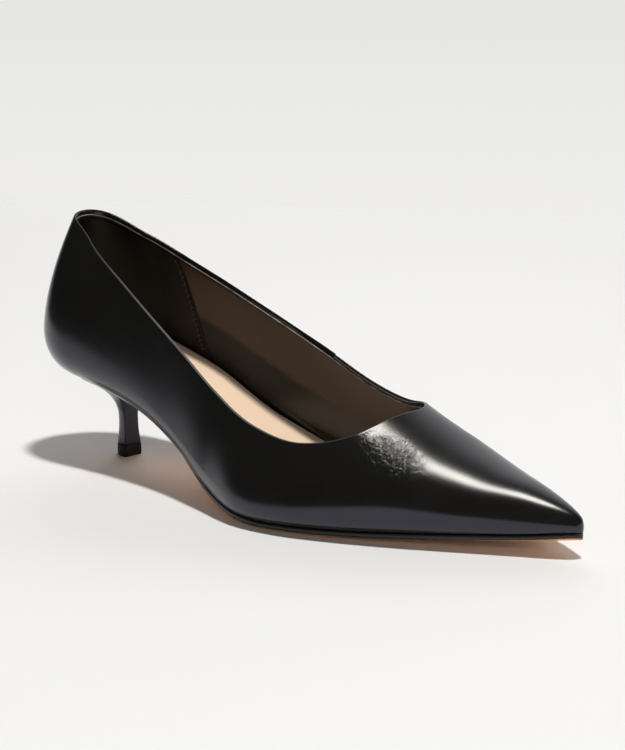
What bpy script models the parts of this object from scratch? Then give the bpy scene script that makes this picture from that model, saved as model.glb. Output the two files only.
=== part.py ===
"""Pointed toe court shoe with a slim low heel, right foot, built on the shape of its last.

Lengths in the tables are millimetres. x runs from the heel to the toe, y to the inner
side of the foot, z up from the floor. Every piece is a closed solid with its own name.
"""
import math

import bpy
import bmesh
import numpy as np

MM = 0.001

# Main sizes of the last
TOE_TIP = 264.0        # x of the toe tip
HEEL_CENTRE = 31.0     # x of the centre that the heel sections fan out from
HEEL_BACK = 34.0       # heel centre to the widest part of the back
HEEL_SEAT_BACK = 20.7  # heel centre to the back of the seat outline
HEEL_TOP_BACK = 20.9   # heel centre to the back of the topline
HEEL_TOP_Z = 102.2     # height of the topline at the back seam
BACK_WIDE_UP = 23.6    # height of the widest part of the back above the seat
BACK_LEAN = 1.45       # exponent of the forward lean of the back seam
PLAN_POWER = 2.15      # roundness of the heel in plan
CROWN = 1.7            # how far the edge of the bottom lies above its centre

# Material thicknesses and the clearance between pieces
WALL = 1.8
MARGIN = 6.0
SOLE_THICK = 2.0
GAP = 0.3

# One row per section of the last; out is the outer side of the foot, in the inner side
SECTION_COLUMNS = ("x", "swing", "foot_out", "foot_in", "wide_out", "wide_in",
                   "wide_up", "ridge", "rise_out", "rise_in", "sole_out", "sock_up", "sock_dish")
SECTIONS = (
    (31.0, 0.0, 14.7, 14.0, 29.2, 28.8, 15.1, 105.0, 1.18, 1.18, 0.8, 13.8, 1.8),
    (60.0, -0.5, 16.9, 14.6, 28.3, 29.1, 13.7, 118.5, 1.57, 1.32, 0.8, 11.8, 1.6),
    (90.0, -1.8, 22.5, 17.2, 30.2, 30.0, 11.8, 128.6, 1.92, 1.42, 0.9, 8.9, 1.2),
    (120.0, -3.4, 33.7, 24.2, 36.8, 34.0, 9.6, 105.0, 1.99, 1.42, 0.9, 8.4, 0.8),
    (145.0, -4.4, 40.2, 31.3, 42.9, 37.6, 8.3, 78.1, 1.71, 1.36, 0.9, 7.8, 0.6),
    (165.0, -3.4, 38.9, 34.0, 42.8, 38.8, 7.6, 60.7, 1.45, 1.28, 1.0, 7.0, 0.6),
    (185.0, -0.8, 34.4, 32.0, 38.7, 36.7, 8.7, 46.7, 1.21, 1.15, 1.0, 6.4, 0.6),
    (205.0, 1.8, 27.5, 27.4, 32.1, 32.1, 9.4, 35.8, 1.0, 1.0, 1.0, 5.9, 0.5),
    (225.0, 3.6, 19.8, 20.6, 22.9, 24.2, 7.5, 27.9, 1.0, 1.0, 0.9, 5.4, 0.4),
    (243.0, 5.0, 11.7, 12.4, 13.9, 14.9, 5.6, 23.0, 1.0, 1.0, 0.8, 4.8, 0.2),
    (256.0, 5.9, 5.6, 5.4, 7.4, 7.2, 3.8, 18.6, 1.0, 1.0, 0.7, 4.6, 0.1),
    (264.0, 6.4, 0.0, 0.0, 0.0, 0.0, 1.5, 12.9, 1.0, 1.0, 0.0, 4.5, 0.0),
)

# Height of the bottom of the last over the floor: heel seat, arch, ball, toe spring
BOTTOM_COLUMNS = ("x", "z")
BOTTOM = (
    (0.0, 34.4),
    (20.0, 33.8),
    (45.0, 30.0),
    (75.0, 23.0),
    (105.0, 12.4),
    (130.0, 4.6),
    (150.0, 1.9),
    (170.0, 1.9),
    (195.0, 2.6),
    (225.0, 4.7),
    (250.0, 6.9),
    (264.0, 9.2),
)

# Topline from the throat to the heel; the first height is taken from the ridge
TOPLINE_COLUMNS = ("x", "z_out", "z_in")
TOPLINE = (
    (190.9, None, None),
    (184.1, 36.9, 42.8),
    (168.0, 33.9, 40.5),
    (150.3, 36.6, 44.5),
    (125.0, 44.2, 54.9),
    (100.0, 55.6, 64.6),
    (75.0, 68.6, 73.8),
    (50.0, 82.8, 83.2),
    (31.0, 93.2, 92.0),
)

# Heel: share of the height, breast and back positions and half width
HEEL_COLUMNS = ("share", "breast", "back", "half")
HEEL_ROWS = (
    (0.00, 37.4, 29.2, 4.5),
    (0.20, 36.8, 29.9, 4.1),
    (0.40, 36.5, 30.1, 4.0),
    (0.56, 36.4, 29.3, 4.2),
    (0.70, 36.8, 26.6, 5.2),
    (0.82, 38.0, 22.2, 7.2),
    (0.92, 39.6, 17.3, 9.8),
    (1.00, 41.0, 13.6, 11.6),
)
TIP_HEIGHT = 5.0       # height of the wearing piece under the heel
TIP_STEP = 0.2         # how far it stands out beyond the stem

# Mesh density
HEEL_STEPS = 9
QUARTER_STEPS = 22
VAMP_STEPS = 20
ROLL_ROWS = 4
WALL_ROWS = 8
ACROSS = (-1.0, -0.965, -0.93, -0.62, -0.3, 0.0, 0.3, 0.62, 0.93, 0.965, 1.0)
SEAT_SHARE = 0.93      # share of the outsole width that lies under the seat of the upper
HEEL_ROUND = 14

OUT = -1
IN = 1


def column(table, names, name):
    """Return one named column of a table as an array."""
    place = names.index(name)
    return np.array([np.nan if row[place] is None else row[place] for row in table])


def through(knots, values, x):
    """Smooth curve through the values at the knots."""
    x = np.asarray(x, float)
    step = np.diff(knots)
    rise = np.diff(values) / step
    slope = np.empty(len(knots))
    slope[0] = rise[0]
    slope[-1] = rise[-1]
    slope[1:-1] = (step[1:] * rise[:-1] + step[:-1] * rise[1:]) / (step[1:] + step[:-1])
    k = np.clip(np.searchsorted(knots, x) - 1, 0, len(step) - 1)
    t = np.clip((x - knots[k]) / step[k], 0.0, 1.0)
    ahead = 1.0 - t
    return ((1 + 2 * t) * ahead ** 2 * values[k] + t * ahead ** 2 * step[k] * slope[k]
            + t * t * (3 - 2 * t) * values[k + 1] - t * t * ahead * step[k] * slope[k + 1])


def toe_measure(x):
    """Length measure that opens up the tip, so that widths close in a round point."""
    return -np.sqrt(np.maximum(TOE_TIP - np.asarray(x, float), 0.0))


SECTION_X = toe_measure(column(SECTIONS, SECTION_COLUMNS, "x"))


def section(name, x):
    """A named section size at x."""
    return through(SECTION_X, column(SECTIONS, SECTION_COLUMNS, name), toe_measure(x))


def sided(name, side, x):
    """A section size that has an outer and an inner value."""
    return section(name + ("_out" if side == OUT else "_in"), x)


def bottom(x):
    """Height of the centre line of the bottom."""
    return through(column(BOTTOM, BOTTOM_COLUMNS, "x"), column(BOTTOM, BOTTOM_COLUMNS, "z"), x)


def ease(x, start, end):
    """Smooth step from 0 at start to 1 at end."""
    t = np.clip((np.asarray(x, float) - start) / (end - start), 0.0, 1.0)
    return t * t * (3.0 - 2.0 * t)


def bottom_at(x, y):
    """Height of the bottom surface of the lasted upper at a point in plan."""
    off = y - section("swing", x)
    half = np.where(off < 0, sided("foot", OUT, x), sided("foot", IN, x))
    half = np.maximum(half, 0.001)
    crown = CROWN * half / (half + 3.0)
    return bottom(x) + crown * np.minimum(np.abs(off) / half, 1.0) ** 2


def section_point(x, side, level):
    """Point on the outside: level 0 to 1 is the roll under the foot, 1 to 2 the wall.

    The wall level counts the quarter turn from the widest point up to the ridge. A rise
    over 1 makes the wall lean in sooner above its widest line.
    """
    foot = sided("foot", side, x)
    wide = sided("wide", side, x)
    middle = section("swing", x)
    z_foot = bottom_at(x, middle + side * foot)
    z_wide = bottom(x) + section("wide_up", x)
    if level <= 1.0:
        turn = level * math.pi / 2
        r = foot + (wide - foot) * math.sin(turn)
        z = z_foot + (z_wide - z_foot) * (1.0 - math.cos(turn))
    else:
        turn = (level - 1.0) * math.pi / 2
        r = wide * math.cos(turn)
        z = z_wide + (section("ridge", x) - z_wide) * math.sin(turn) ** sided("rise", side, x)
    return np.array([float(x), float(middle + side * r), float(z)])


def top_level(x, side, z):
    """Level at which the section at x reaches the height z."""
    z_wide = bottom(x) + section("wide_up", x)
    share = np.clip((z - z_wide) / (section("ridge", x) - z_wide), 0.0, 1.0)
    return 1.0 + math.asin(float(share ** (1.0 / sided("rise", side, x)))) / (math.pi / 2)


def topline_z(share, side):
    """Topline height at a share of the way from the throat to the heel."""
    heights = column(TOPLINE, TOPLINE_COLUMNS, "z_out" if side == OUT else "z_in")
    heights[0] = float(section("ridge", TOPLINE[0][0]))
    return float(through(np.linspace(0.0, 1.0, len(TOPLINE)), heights, share))


def quarter_start(side):
    """Position just ahead of the heel centre, with the height and level of the topline there."""
    share = 0.99
    x = float(through(np.linspace(0.0, 1.0, len(TOPLINE)), column(TOPLINE, TOPLINE_COLUMNS, "x"), share))
    z = topline_z(share, side)
    return x, z, top_level(x, side, z)


def heel_point(turn, level, side, grow=0.0):
    """Point on the heel counter; turn is 0 at the side and a quarter turn at the back.

    Level 0 to 1 is the roll under the seat, 1 to 2 runs up to the topline, which goes on
    from the quarter at its slope and is level at the back.
    """
    c = abs(math.cos(turn))
    s = math.sin(turn)
    foot = float(sided("foot", side, HEEL_CENTRE))
    wide = float(sided("wide", side, HEEL_CENTRE))
    ridge = float(section("ridge", HEEL_CENTRE))
    z_wide = float(bottom(HEEL_CENTRE) + section("wide_up", HEEL_CENTRE))
    z_top = TOPLINE[-1][1 if side == OUT else 2]
    full = (top_level(HEEL_CENTRE, side, z_top) - 1.0) * math.pi / 2
    ahead_x, ahead_z, ahead_top = quarter_start(side)
    slope = (z_top - ahead_z) / (ahead_x - HEEL_CENTRE)
    start = slope * wide * math.cos(full) * math.pi / 2 / (HEEL_TOP_Z - z_top)

    def plan(half, back, ahead_level):
        """Point of the rounded heel outline at this turn, flaring as the quarters do."""
        ahead = section_point(ahead_x, side, ahead_level)[1] - section("swing", ahead_x)
        flare = (abs(float(ahead)) - half) / (ahead_x - HEEL_CENTRE)
        half = half + grow
        back = back + grow
        r = ((c / half) ** PLAN_POWER + (s / back) ** PLAN_POWER) ** (-1.0 / PLAN_POWER)
        return HEEL_CENTRE - r * s, side * r * c * (1.0 - flare * r * s * (1.0 - s) / half)

    seat_x, seat_y = plan(foot, HEEL_SEAT_BACK, 0.0)
    z_seat = float(bottom_at(seat_x, seat_y))
    z_wide_back = float(bottom(0.0)) + BACK_WIDE_UP
    share = turn / (math.pi / 2)
    blend = share + 0.3 * (share ** 2 - share ** 3)
    z_here = z_wide + (z_wide_back - z_wide) * blend
    if level <= 1.0:
        ahead_level = level
        roll = level * math.pi / 2
        half = foot + (wide - foot) * math.sin(roll)
        back = HEEL_SEAT_BACK + (HEEL_BACK - HEEL_SEAT_BACK) * math.sin(roll)
        z = z_seat + (z_here - z_seat) * (1.0 - math.cos(roll))
    else:
        up = level - 1.0
        ahead_level = 1.0 + (ahead_top - 1.0) * up
        half = wide * math.cos(full * up)
        back = HEEL_BACK - (HEEL_BACK - HEEL_TOP_BACK) * up ** BACK_LEAN
        z_side = z_wide + (ridge - z_wide) * math.sin(full * up) ** float(sided("rise", side, HEEL_CENTRE))
        z_back = z_wide_back + (HEEL_TOP_Z - z_wide_back) * up
        at_top = start * share + (3.0 - 2.0 * start) * share ** 2 + (start - 2.0) * share ** 3
        z = z_side + (z_back - z_side) * (blend + (at_top - blend) * up)
    x, y = plan(half, back, ahead_level)
    return np.array([x, y, z])


def stations():
    """Stations from the back seam to the toe tip: (heel turn, x, share of topline)."""
    rows = []
    for i in range(HEEL_STEPS):
        rows.append((math.pi / 2 * (1.0 - i / HEEL_STEPS), None, None))
    knots = np.linspace(0.0, 1.0, len(TOPLINE))
    top_x = column(TOPLINE, TOPLINE_COLUMNS, "x")
    for i in range(QUARTER_STEPS + 1):
        share = (1.0 - i / QUARTER_STEPS) ** 1.6
        rows.append((None, float(through(knots, top_x, share)), share))
    throat = TOPLINE[0][0]
    for i in range(1, VAMP_STEPS + 1):
        share = math.sin(math.pi / 2 * i / VAMP_STEPS) ** 2
        rows.append((None, throat + (TOE_TIP - throat) * share, None))
    return rows


def levels(top):
    """Levels of the rows of one wall column, from the seat edge up to the top."""
    roll = [i / ROLL_ROWS for i in range(ROLL_ROWS)]
    return roll + [1.0 + (top - 1.0) * i / WALL_ROWS for i in range(WALL_ROWS + 1)]


def wall_column(station, side):
    """Points of one column of the upper: turned-in margin edge, roll, wall."""
    turn, x, share = station
    if turn is not None:
        points = [heel_point(turn, level, side) for level in levels(2.0)]
        edge = heel_point(turn, 0.0, side, -MARGIN)
    else:
        top = 2.0 if share is None else top_level(x, side, topline_z(share, side))
        points = [section_point(x, side, level) for level in levels(top)]
        edge_x = x - 12.0 * float(ease(x, 205.0, TOE_TIP))
        inset = MARGIN * (1.0 - 0.85 * float(ease(x, 210.0, TOE_TIP)))
        edge_r = max(float(sided("foot", side, x)) - inset, 0.0)
        edge = np.array([edge_x, float(section("swing", edge_x)) + side * edge_r, 0.0])
    edge[2] = float(bottom_at(edge[0], edge[1]))
    return [edge] + points


def loop_columns(rows):
    """Column keys once round the shoe: back seam, outer side, toe, inner side."""
    last = len(rows) - 1
    keys = [(i, OUT) for i in range(last + 1)]
    return keys + [(i, IN) for i in range(last - 1, 0, -1)]


def inside_share(x):
    """Share of the wall taken along the normal, and the step back at the stiffened toe."""
    return 1.0 - 0.95 * float(ease(x, 230.0, TOE_TIP)), 9.0 * float(ease(x, 240.0, TOE_TIP))


def upper_mesh(rows):
    """Hollow upper, and its inside points by column for the insole."""
    bm = bmesh.new()
    keys = loop_columns(rows)
    first_vamp = HEEL_STEPS + QUARTER_STEPS
    outer = {}
    for key in keys:
        index, side = key
        points = wall_column(rows[index], side)
        for row, point in enumerate(points):
            shared = row == len(points) - 1 and index >= first_vamp and side == IN
            if shared:
                outer[key, row] = outer[(index, OUT), row]
            else:
                outer[key, row] = bm.verts.new(point)
    count = ROLL_ROWS + WALL_ROWS + 2

    def skin(grid, flip):
        """Faces between neighbouring columns of one grid."""
        for k, key in enumerate(keys):
            after = keys[(k + 1) % len(keys)]
            for row in range(count - 1):
                ring = [grid[key, row], grid[after, row], grid[after, row + 1], grid[key, row + 1]]
                ring = list(dict.fromkeys(ring))
                if flip:
                    ring.reverse()
                bm.faces.new(ring)

    skin(outer, False)
    bm.normal_update()
    inner = {}
    made = {}
    inside = {}
    for name, vert in outer.items():
        if vert not in made:
            keep, back = inside_share(vert.co.x)
            point = vert.co - vert.normal * (WALL * keep)
            point.x -= back
            if name[1] == 0:
                point = vert.co.copy()
                point.z += WALL
            made[vert] = bm.verts.new(point)
        inner[name] = made[vert]
        inside[name] = (np.array(made[vert].co), np.array(vert.normal))
    skin(inner, True)
    for k, key in enumerate(keys):
        after = keys[(k + 1) % len(keys)]
        bm.faces.new([outer[after, 0], outer[key, 0], inner[key, 0], inner[after, 0]])
        open_top = max(key[0], after[0]) <= first_vamp
        if open_top:
            top = count - 1
            bm.faces.new([outer[key, top], outer[after, top], inner[after, top], inner[key, top]])
    return bm, inside


def thinned(rows, step):
    """Station numbers at least a step apart along the foot, ends kept."""
    def place(row):
        """Position of a station along the foot."""
        if row[0] is None:
            return row[1]
        return float(heel_point(row[0], 0.0, OUT)[0])

    kept = [0]
    for i in range(1, len(rows) - 1):
        if place(rows[i]) - place(rows[kept[-1]]) >= step:
            kept.append(i)
    return kept + [len(rows) - 1]


def plate_mesh(lines):
    """Closed plate from lines across the foot; a line is (top points, bottom points).

    Each line runs from the outer edge to the inner edge. The first and the last line
    have one point on top and one below.
    """
    bm = bmesh.new()
    made = []
    for top, low in lines:
        made.append(([bm.verts.new(p) for p in top], [bm.verts.new(p) for p in low]))

    def strip(a, b, flip):
        """Faces between two point rows, fanned where one is a single point."""
        n = max(len(a), len(b))
        for i in range(n - 1):
            ring = [a[min(i, len(a) - 1)], a[min(i + 1, len(a) - 1)],
                    b[min(i + 1, len(b) - 1)], b[min(i, len(b) - 1)]]
            ring = list(dict.fromkeys(ring))
            if flip:
                ring.reverse()
            bm.faces.new(ring)

    for (top_a, low_a), (top_b, low_b) in zip(made[:-1], made[1:]):
        strip(top_a, top_b, True)
        strip(low_a, low_b, False)
        for end in (0, -1):
            ring = [top_a[end], top_b[end], low_b[end], low_a[end]]
            if end == 0:
                ring.reverse()
            bm.faces.new(ring)
    bmesh.ops.recalc_face_normals(bm, faces=bm.faces[:])
    return bm


def sole_edge(station, side):
    """Edge of the outsole top and the seat edge of the upper above it, in plan."""
    turn, x, share = station
    if turn is not None:
        out = float(section("sole_out", HEEL_CENTRE))
        seat = heel_point(turn, 0.0, side)
        edge = heel_point(turn, 0.0, side, out)
        edge[2] = seat[2]
        return seat, edge
    out = float(section("sole_out", x))
    seat = section_point(x, side, 0.0)
    edge = seat + np.array([0.0, side * out, 0.0])
    roll = max(float(sided("wide", side, x) - sided("foot", side, x)), 0.001)
    tall = float(section_point(x, side, 1.0)[2] - seat[2])
    edge[2] += tall * (1.0 - math.sqrt(max(0.0, 1.0 - min(out / roll, 1.0) ** 2)))
    return seat, edge


def sole_bottom_at(x, y):
    """Underside of the outsole; flat where it would pass through the floor."""
    return np.maximum(bottom_at(x, y) - GAP - SOLE_THICK, 0.0)


def outsole_lines(rows):
    """Lines across the outsole, from the back of the seat to the toe."""
    lines = []
    for index in thinned(rows, 3.2):
        seat_out, edge_out = sole_edge(rows[index], OUT)
        seat_in, edge_in = sole_edge(rows[index], IN)
        top = []
        low = []
        for share in ACROSS:
            seat, edge = (seat_out, edge_out) if share < 0 else (seat_in, edge_in)
            middle = float(section("swing", seat[0]))
            lip = max(0.0, (abs(share) - SEAT_SHARE) / (1.0 - SEAT_SHARE))
            if lip > 0.0:
                point = seat + (edge - seat) * lip
                z_top = seat[2] + (edge[2] - seat[2]) * lip * lip - GAP - 0.12 * lip
                under = point.copy()
                under[1] -= math.copysign(0.4 * lip, share)
                z_low = float(sole_bottom_at(seat[0], seat[1])) + 0.3 * lip
            else:
                y = middle + (seat[1] - middle) * abs(share) / SEAT_SHARE
                point = np.array([seat[0], y, 0.0])
                under = point.copy()
                z_top = float(bottom_at(point[0], y)) - GAP
                z_low = float(sole_bottom_at(point[0], y))
            point[2] = z_top
            under[2] = min(z_low, z_top - 0.8)
            top.append(point)
            low.append(under)
        if index in (0, len(rows) - 1):
            top = [np.array([edge_out[0], seat_out[1], seat_out[2] - GAP])]
            low = [top[0] - np.array([0.0, 0.0, SOLE_THICK - 0.3])]
        lines.append((top, low))
    return lines


def insole_lines(rows, inside):
    """Lines across the insole, fitted to the inside of the upper."""
    count = ROLL_ROWS + WALL_ROWS + 2

    def at_height(key, z):
        """Inside point and outward direction of a column at a height."""
        points = [inside[key, row] for row in range(1, count)]
        for (low, n_low), (high, n_high) in zip(points[:-1], points[1:]):
            if high[2] >= z:
                t = max(0.0, (z - low[2]) / max(high[2] - low[2], 1e-6))
                return low + (high - low) * t, n_low + (n_high - n_low) * t
        return points[-1]

    def fitted(key, z, back):
        """Inside point drawn in by the clearance and moved back at the toe."""
        point, out = at_height(key, z)
        flat = np.array([out[0], out[1], 0.0])
        length = max(float(np.linalg.norm(flat)), 1e-6)
        point = point - flat / length * (GAP + 0.25)
        point[0] -= back
        return point

    lines = []
    last = len(rows) - 1
    for index in thinned(rows, 4.0):
        x = rows[index][1] if rows[index][0] is None else HEEL_CENTRE
        back = 11.0 * float(ease(x, 200.0, TOE_TIP))
        ends = []
        for side in (OUT, IN):
            key = (index, side if 0 < index < last else OUT)
            foot, normal = inside[key, 1]
            here = foot[0] - back
            base = float(bottom(here))
            edge = fitted(key, base + float(section("sock_up", here)), back)
            mid = fitted(key, base + 0.55 * float(section("sock_up", here)), back)
            low = foot.copy()
            low[0] -= back
            low[1] -= side * min(1.3, abs(low[1] - float(section("swing", low[0]))))
            low[2] = float(bottom_at(low[0], low[1])) + WALL + GAP + 0.15
            mid[2] = max(mid[2], low[2] + 0.4)
            edge[2] = max(edge[2], low[2] + 1.6)
            ends.append((edge, mid, low))
        if index in (0, last):
            edge, mid, low = ends[0]
            lines.append(([edge], [low]))
            continue
        top = []
        under = []
        dish = float(section("sock_dish", ends[0][0][0]))
        for share in ACROSS:
            f = 0.5 + 0.5 * share
            top_point = ends[0][0] + (ends[1][0] - ends[0][0]) * f
            top_point[2] -= dish * (1.0 - share * share)
            low_point = ends[0][2] + (ends[1][2] - ends[0][2]) * f
            if abs(share) < 0.99:
                low_point[2] = float(bottom_at(low_point[0], low_point[1])) + WALL + GAP + 0.15
            top.append(top_point)
            under.append(low_point)
        under = [ends[0][1]] + under + [ends[1][1]]
        top = [top[0]] + top + [top[-1]]
        lines.append((top, under))
    return lines


def insole_mesh(lines):
    """Insole with a side that follows the roll of the upper."""
    bm = bmesh.new()
    rings = []
    for top, under in lines:
        if len(top) == 1:
            rings.append([bm.verts.new(top[0]), bm.verts.new(under[0])])
            continue
        rings.append([bm.verts.new(p) for p in list(top[1:-1]) + list(reversed(under))])
    width = len(ACROSS)
    for a, b in zip(rings[:-1], rings[1:]):
        if len(a) == 2 or len(b) == 2:
            point, ring = (a, b) if len(a) == 2 else (b, a)
            size = len(ring)
            half = width - 1
            for i in range(size):
                after = (i + 1) % size
                apex = point[0] if i < half else point[1]
                bm.faces.new([ring[i], ring[after], apex])
            bm.faces.new([ring[half], point[0], point[1]])
            bm.faces.new([ring[0], point[1], point[0]])
            continue
        size = len(a)
        for i in range(size):
            after = (i + 1) % size
            bm.faces.new([a[i], a[after], b[after], b[i]])
    bmesh.ops.recalc_face_normals(bm, faces=bm.faces[:])
    return bm


def heel_ring(breast, back, half, grow):
    """Outline of the heel at one height: flat breast, rounded back."""
    points = []
    for i in range(HEEL_ROUND + 1):
        turn = math.pi * i / HEEL_ROUND
        depth = (breast - back + grow) * math.sin(turn) ** 0.9
        points.append((breast + grow * 0.2 - depth, -(half + grow) * math.cos(turn)))
    middle = points[0][0]
    for share in (0.5, 0.0, -0.5):
        points.append((middle, (half + grow) * share))
    return points


def tower_mesh(rings):
    """Closed body through rings of equal size, ends capped."""
    bm = bmesh.new()
    made = [[bm.verts.new(p) for p in ring] for ring in rings]
    for a, b in zip(made[:-1], made[1:]):
        for i in range(len(a)):
            after = (i + 1) % len(a)
            bm.faces.new([a[i], a[after], b[after], b[i]])
    for ring in (made[0], made[-1]):
        cap = bm.faces.new(ring)
        bmesh.ops.triangulate(bm, faces=[cap])
    bmesh.ops.recalc_face_normals(bm, faces=bm.faces[:])
    return bm


def heel_meshes():
    """Heel stem with its flared seat, and the wearing piece below."""
    shares = column(HEEL_ROWS, HEEL_COLUMNS, "share")
    breast = column(HEEL_ROWS, HEEL_COLUMNS, "breast")
    back = column(HEEL_ROWS, HEEL_COLUMNS, "back")
    half = column(HEEL_ROWS, HEEL_COLUMNS, "half")
    seat = heel_ring(breast[-1], back[-1], half[-1], 0.0)
    tops = [float(sole_bottom_at(x, y)) - GAP for x, y in seat]
    rings = []
    for share in np.concatenate([np.linspace(0.0, 0.5, 5), np.linspace(0.56, 1.0, 10)]):
        outline = heel_ring(float(through(shares, breast, share)), float(through(shares, back, share)),
                            float(through(shares, half, share)), 0.0)
        ring = []
        for (x, y), top in zip(outline, tops):
            ring.append((x, y, TIP_HEIGHT + GAP + (top - TIP_HEIGHT - GAP) * share))
        rings.append(ring)
    centre_x = 0.5 * (breast[-1] + back[-1])
    for share in (0.72, 0.44, 0.16):
        ring = []
        for x, y in seat:
            inner_x = centre_x + (x - centre_x) * share
            ring.append((inner_x, y * share, float(sole_bottom_at(inner_x, y * share)) - GAP - 0.08))
        rings.append(ring)
    tip = []
    for z, grow in ((0.0, TIP_STEP - 0.2), (0.5, TIP_STEP), (TIP_HEIGHT - 0.3, TIP_STEP),
                    (TIP_HEIGHT, TIP_STEP - 0.2)):
        tip.append([(x, y, z) for x, y in heel_ring(breast[0], back[0], half[0], grow)])
    return tower_mesh(rings), tower_mesh(tip)


def material(name, colour, roughness):
    """Plain Principled material."""
    made = bpy.data.materials.new(name)
    made.use_nodes = True
    shader = made.node_tree.nodes["Principled BSDF"]
    shader.inputs["Base Color"].default_value = (*colour, 1.0)
    shader.inputs["Roughness"].default_value = roughness
    return made


def add_piece(name, bm, offset, look):
    """Turn a mesh in millimetres into a named object in metres."""
    for vert in bm.verts:
        vert.co = (vert.co - offset) * MM
    for face in bm.faces:
        face.smooth = True
    mesh = bpy.data.meshes.new(name)
    bm.to_mesh(mesh)
    bm.free()
    piece = bpy.data.objects.new(name, mesh)
    bpy.context.scene.collection.objects.link(piece)
    mesh.materials.append(look)
    return piece


def build():
    """Make the five pieces, standing on the floor about the middle of their outline."""
    for old in list(bpy.data.objects):
        bpy.data.objects.remove(old, do_unlink=True)
    rows = stations()
    upper, inside = upper_mesh(rows)
    outsole = plate_mesh(outsole_lines(rows))
    insole = insole_mesh(insole_lines(rows, inside))
    heel, heel_tip = heel_meshes()
    pieces = (
        ("upper", upper, material("upper_leather", (0.012, 0.012, 0.012), 0.35)),
        ("insole", insole, material("insole_sock", (0.80, 0.66, 0.48), 0.75)),
        ("outsole", outsole, material("outsole_sheet", (0.36, 0.20, 0.10), 0.60)),
        ("heel", heel, material("heel_cover", (0.014, 0.014, 0.014), 0.30)),
        ("heel_tip", heel_tip, material("tip_rubber", (0.02, 0.02, 0.02), 0.55)),
    )
    points = np.array([tuple(v.co) for name, bm, look in pieces for v in bm.verts])
    low = points.min(axis=0)
    high = points.max(axis=0)
    offset = bmesh.new()
    centre = offset.verts.new(((low[0] + high[0]) / 2, (low[1] + high[1]) / 2, low[2])).co.copy()
    offset.free()
    for name, bm, look in pieces:
        add_piece(name, bm, centre, look)


build()
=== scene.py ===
"""Pointed toe court shoe: its leather, lining, sock, sole and heel, set on a pale floor."""

import math

import bmesh
import bpy
import numpy as np
from bpy.props import FloatProperty, FloatVectorProperty, IntProperty, PointerProperty
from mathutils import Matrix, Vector


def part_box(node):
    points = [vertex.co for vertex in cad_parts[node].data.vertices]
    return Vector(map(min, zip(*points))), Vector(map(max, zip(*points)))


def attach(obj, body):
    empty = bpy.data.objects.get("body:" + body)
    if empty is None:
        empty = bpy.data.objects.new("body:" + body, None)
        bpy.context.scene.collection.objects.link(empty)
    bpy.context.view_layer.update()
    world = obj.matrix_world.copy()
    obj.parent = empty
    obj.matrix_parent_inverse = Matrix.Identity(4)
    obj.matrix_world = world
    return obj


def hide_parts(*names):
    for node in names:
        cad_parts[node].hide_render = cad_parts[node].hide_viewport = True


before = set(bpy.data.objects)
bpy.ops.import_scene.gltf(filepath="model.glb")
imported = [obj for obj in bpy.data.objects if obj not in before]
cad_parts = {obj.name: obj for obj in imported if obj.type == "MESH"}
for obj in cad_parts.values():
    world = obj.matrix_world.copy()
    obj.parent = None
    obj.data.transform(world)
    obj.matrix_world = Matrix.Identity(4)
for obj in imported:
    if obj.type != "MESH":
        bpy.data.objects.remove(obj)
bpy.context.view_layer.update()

bl_info = {
    "name": "Pointed toe court shoe",
    "version": (1, 0, 0),
    "blender": (4, 5, 0),
    "location": "View3D > Sidebar > Shoe",
    "description": "Builds the leather, lining, sock, sole and heel of one court shoe",
    "category": "Object",
}

MM = 0.001
OUT = -1
IN = 1

# Main sizes of the last in millimetres, as in the part's source
TOE_TIP = 264.0
HEEL_CENTRE = 31.0
HEEL_BACK = 34.0
HEEL_SEAT_BACK = 20.7
HEEL_TOP_BACK = 20.9
HEEL_TOP_Z = 102.2
BACK_WIDE_UP = 23.6
BACK_LEAN = 1.45
PLAN_POWER = 2.15
CROWN = 1.7
MARGIN = 6.0
WALL = 1.8
SOLE_THICK = 2.0
GAP = 0.3
TIP_HEIGHT = 5.0
TIP_STEP = 0.2

SECTION_COLUMNS = ("x", "swing", "foot_out", "foot_in", "wide_out", "wide_in",
                   "wide_up", "ridge", "rise_out", "rise_in", "sole_out", "sock_up", "sock_dish")
SECTIONS = (
    (31.0, 0.0, 14.7, 14.0, 29.2, 28.8, 15.1, 105.0, 1.18, 1.18, 0.8, 13.8, 1.8),
    (60.0, -0.5, 16.9, 14.6, 28.3, 29.1, 13.7, 118.5, 1.57, 1.32, 0.8, 11.8, 1.6),
    (90.0, -1.8, 22.5, 17.2, 30.2, 30.0, 11.8, 128.6, 1.92, 1.42, 0.9, 8.9, 1.2),
    (120.0, -3.4, 33.7, 24.2, 36.8, 34.0, 9.6, 105.0, 1.99, 1.42, 0.9, 8.4, 0.8),
    (145.0, -4.4, 40.2, 31.3, 42.9, 37.6, 8.3, 78.1, 1.71, 1.36, 0.9, 7.8, 0.6),
    (165.0, -3.4, 38.9, 34.0, 42.8, 38.8, 7.6, 60.7, 1.45, 1.28, 1.0, 7.0, 0.6),
    (185.0, -0.8, 34.4, 32.0, 38.7, 36.7, 8.7, 46.7, 1.21, 1.15, 1.0, 6.4, 0.6),
    (205.0, 1.8, 27.5, 27.4, 32.1, 32.1, 9.4, 35.8, 1.0, 1.0, 1.0, 5.9, 0.5),
    (225.0, 3.6, 19.8, 20.6, 22.9, 24.2, 7.5, 27.9, 1.0, 1.0, 0.9, 5.4, 0.4),
    (243.0, 5.0, 11.7, 12.4, 13.9, 14.9, 5.6, 23.0, 1.0, 1.0, 0.8, 4.8, 0.2),
    (256.0, 5.9, 5.6, 5.4, 7.4, 7.2, 3.8, 18.6, 1.0, 1.0, 0.7, 4.6, 0.1),
    (264.0, 6.4, 0.0, 0.0, 0.0, 0.0, 1.5, 12.9, 1.0, 1.0, 0.0, 4.5, 0.0),
)
BOTTOM_COLUMNS = ("x", "z")
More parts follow.
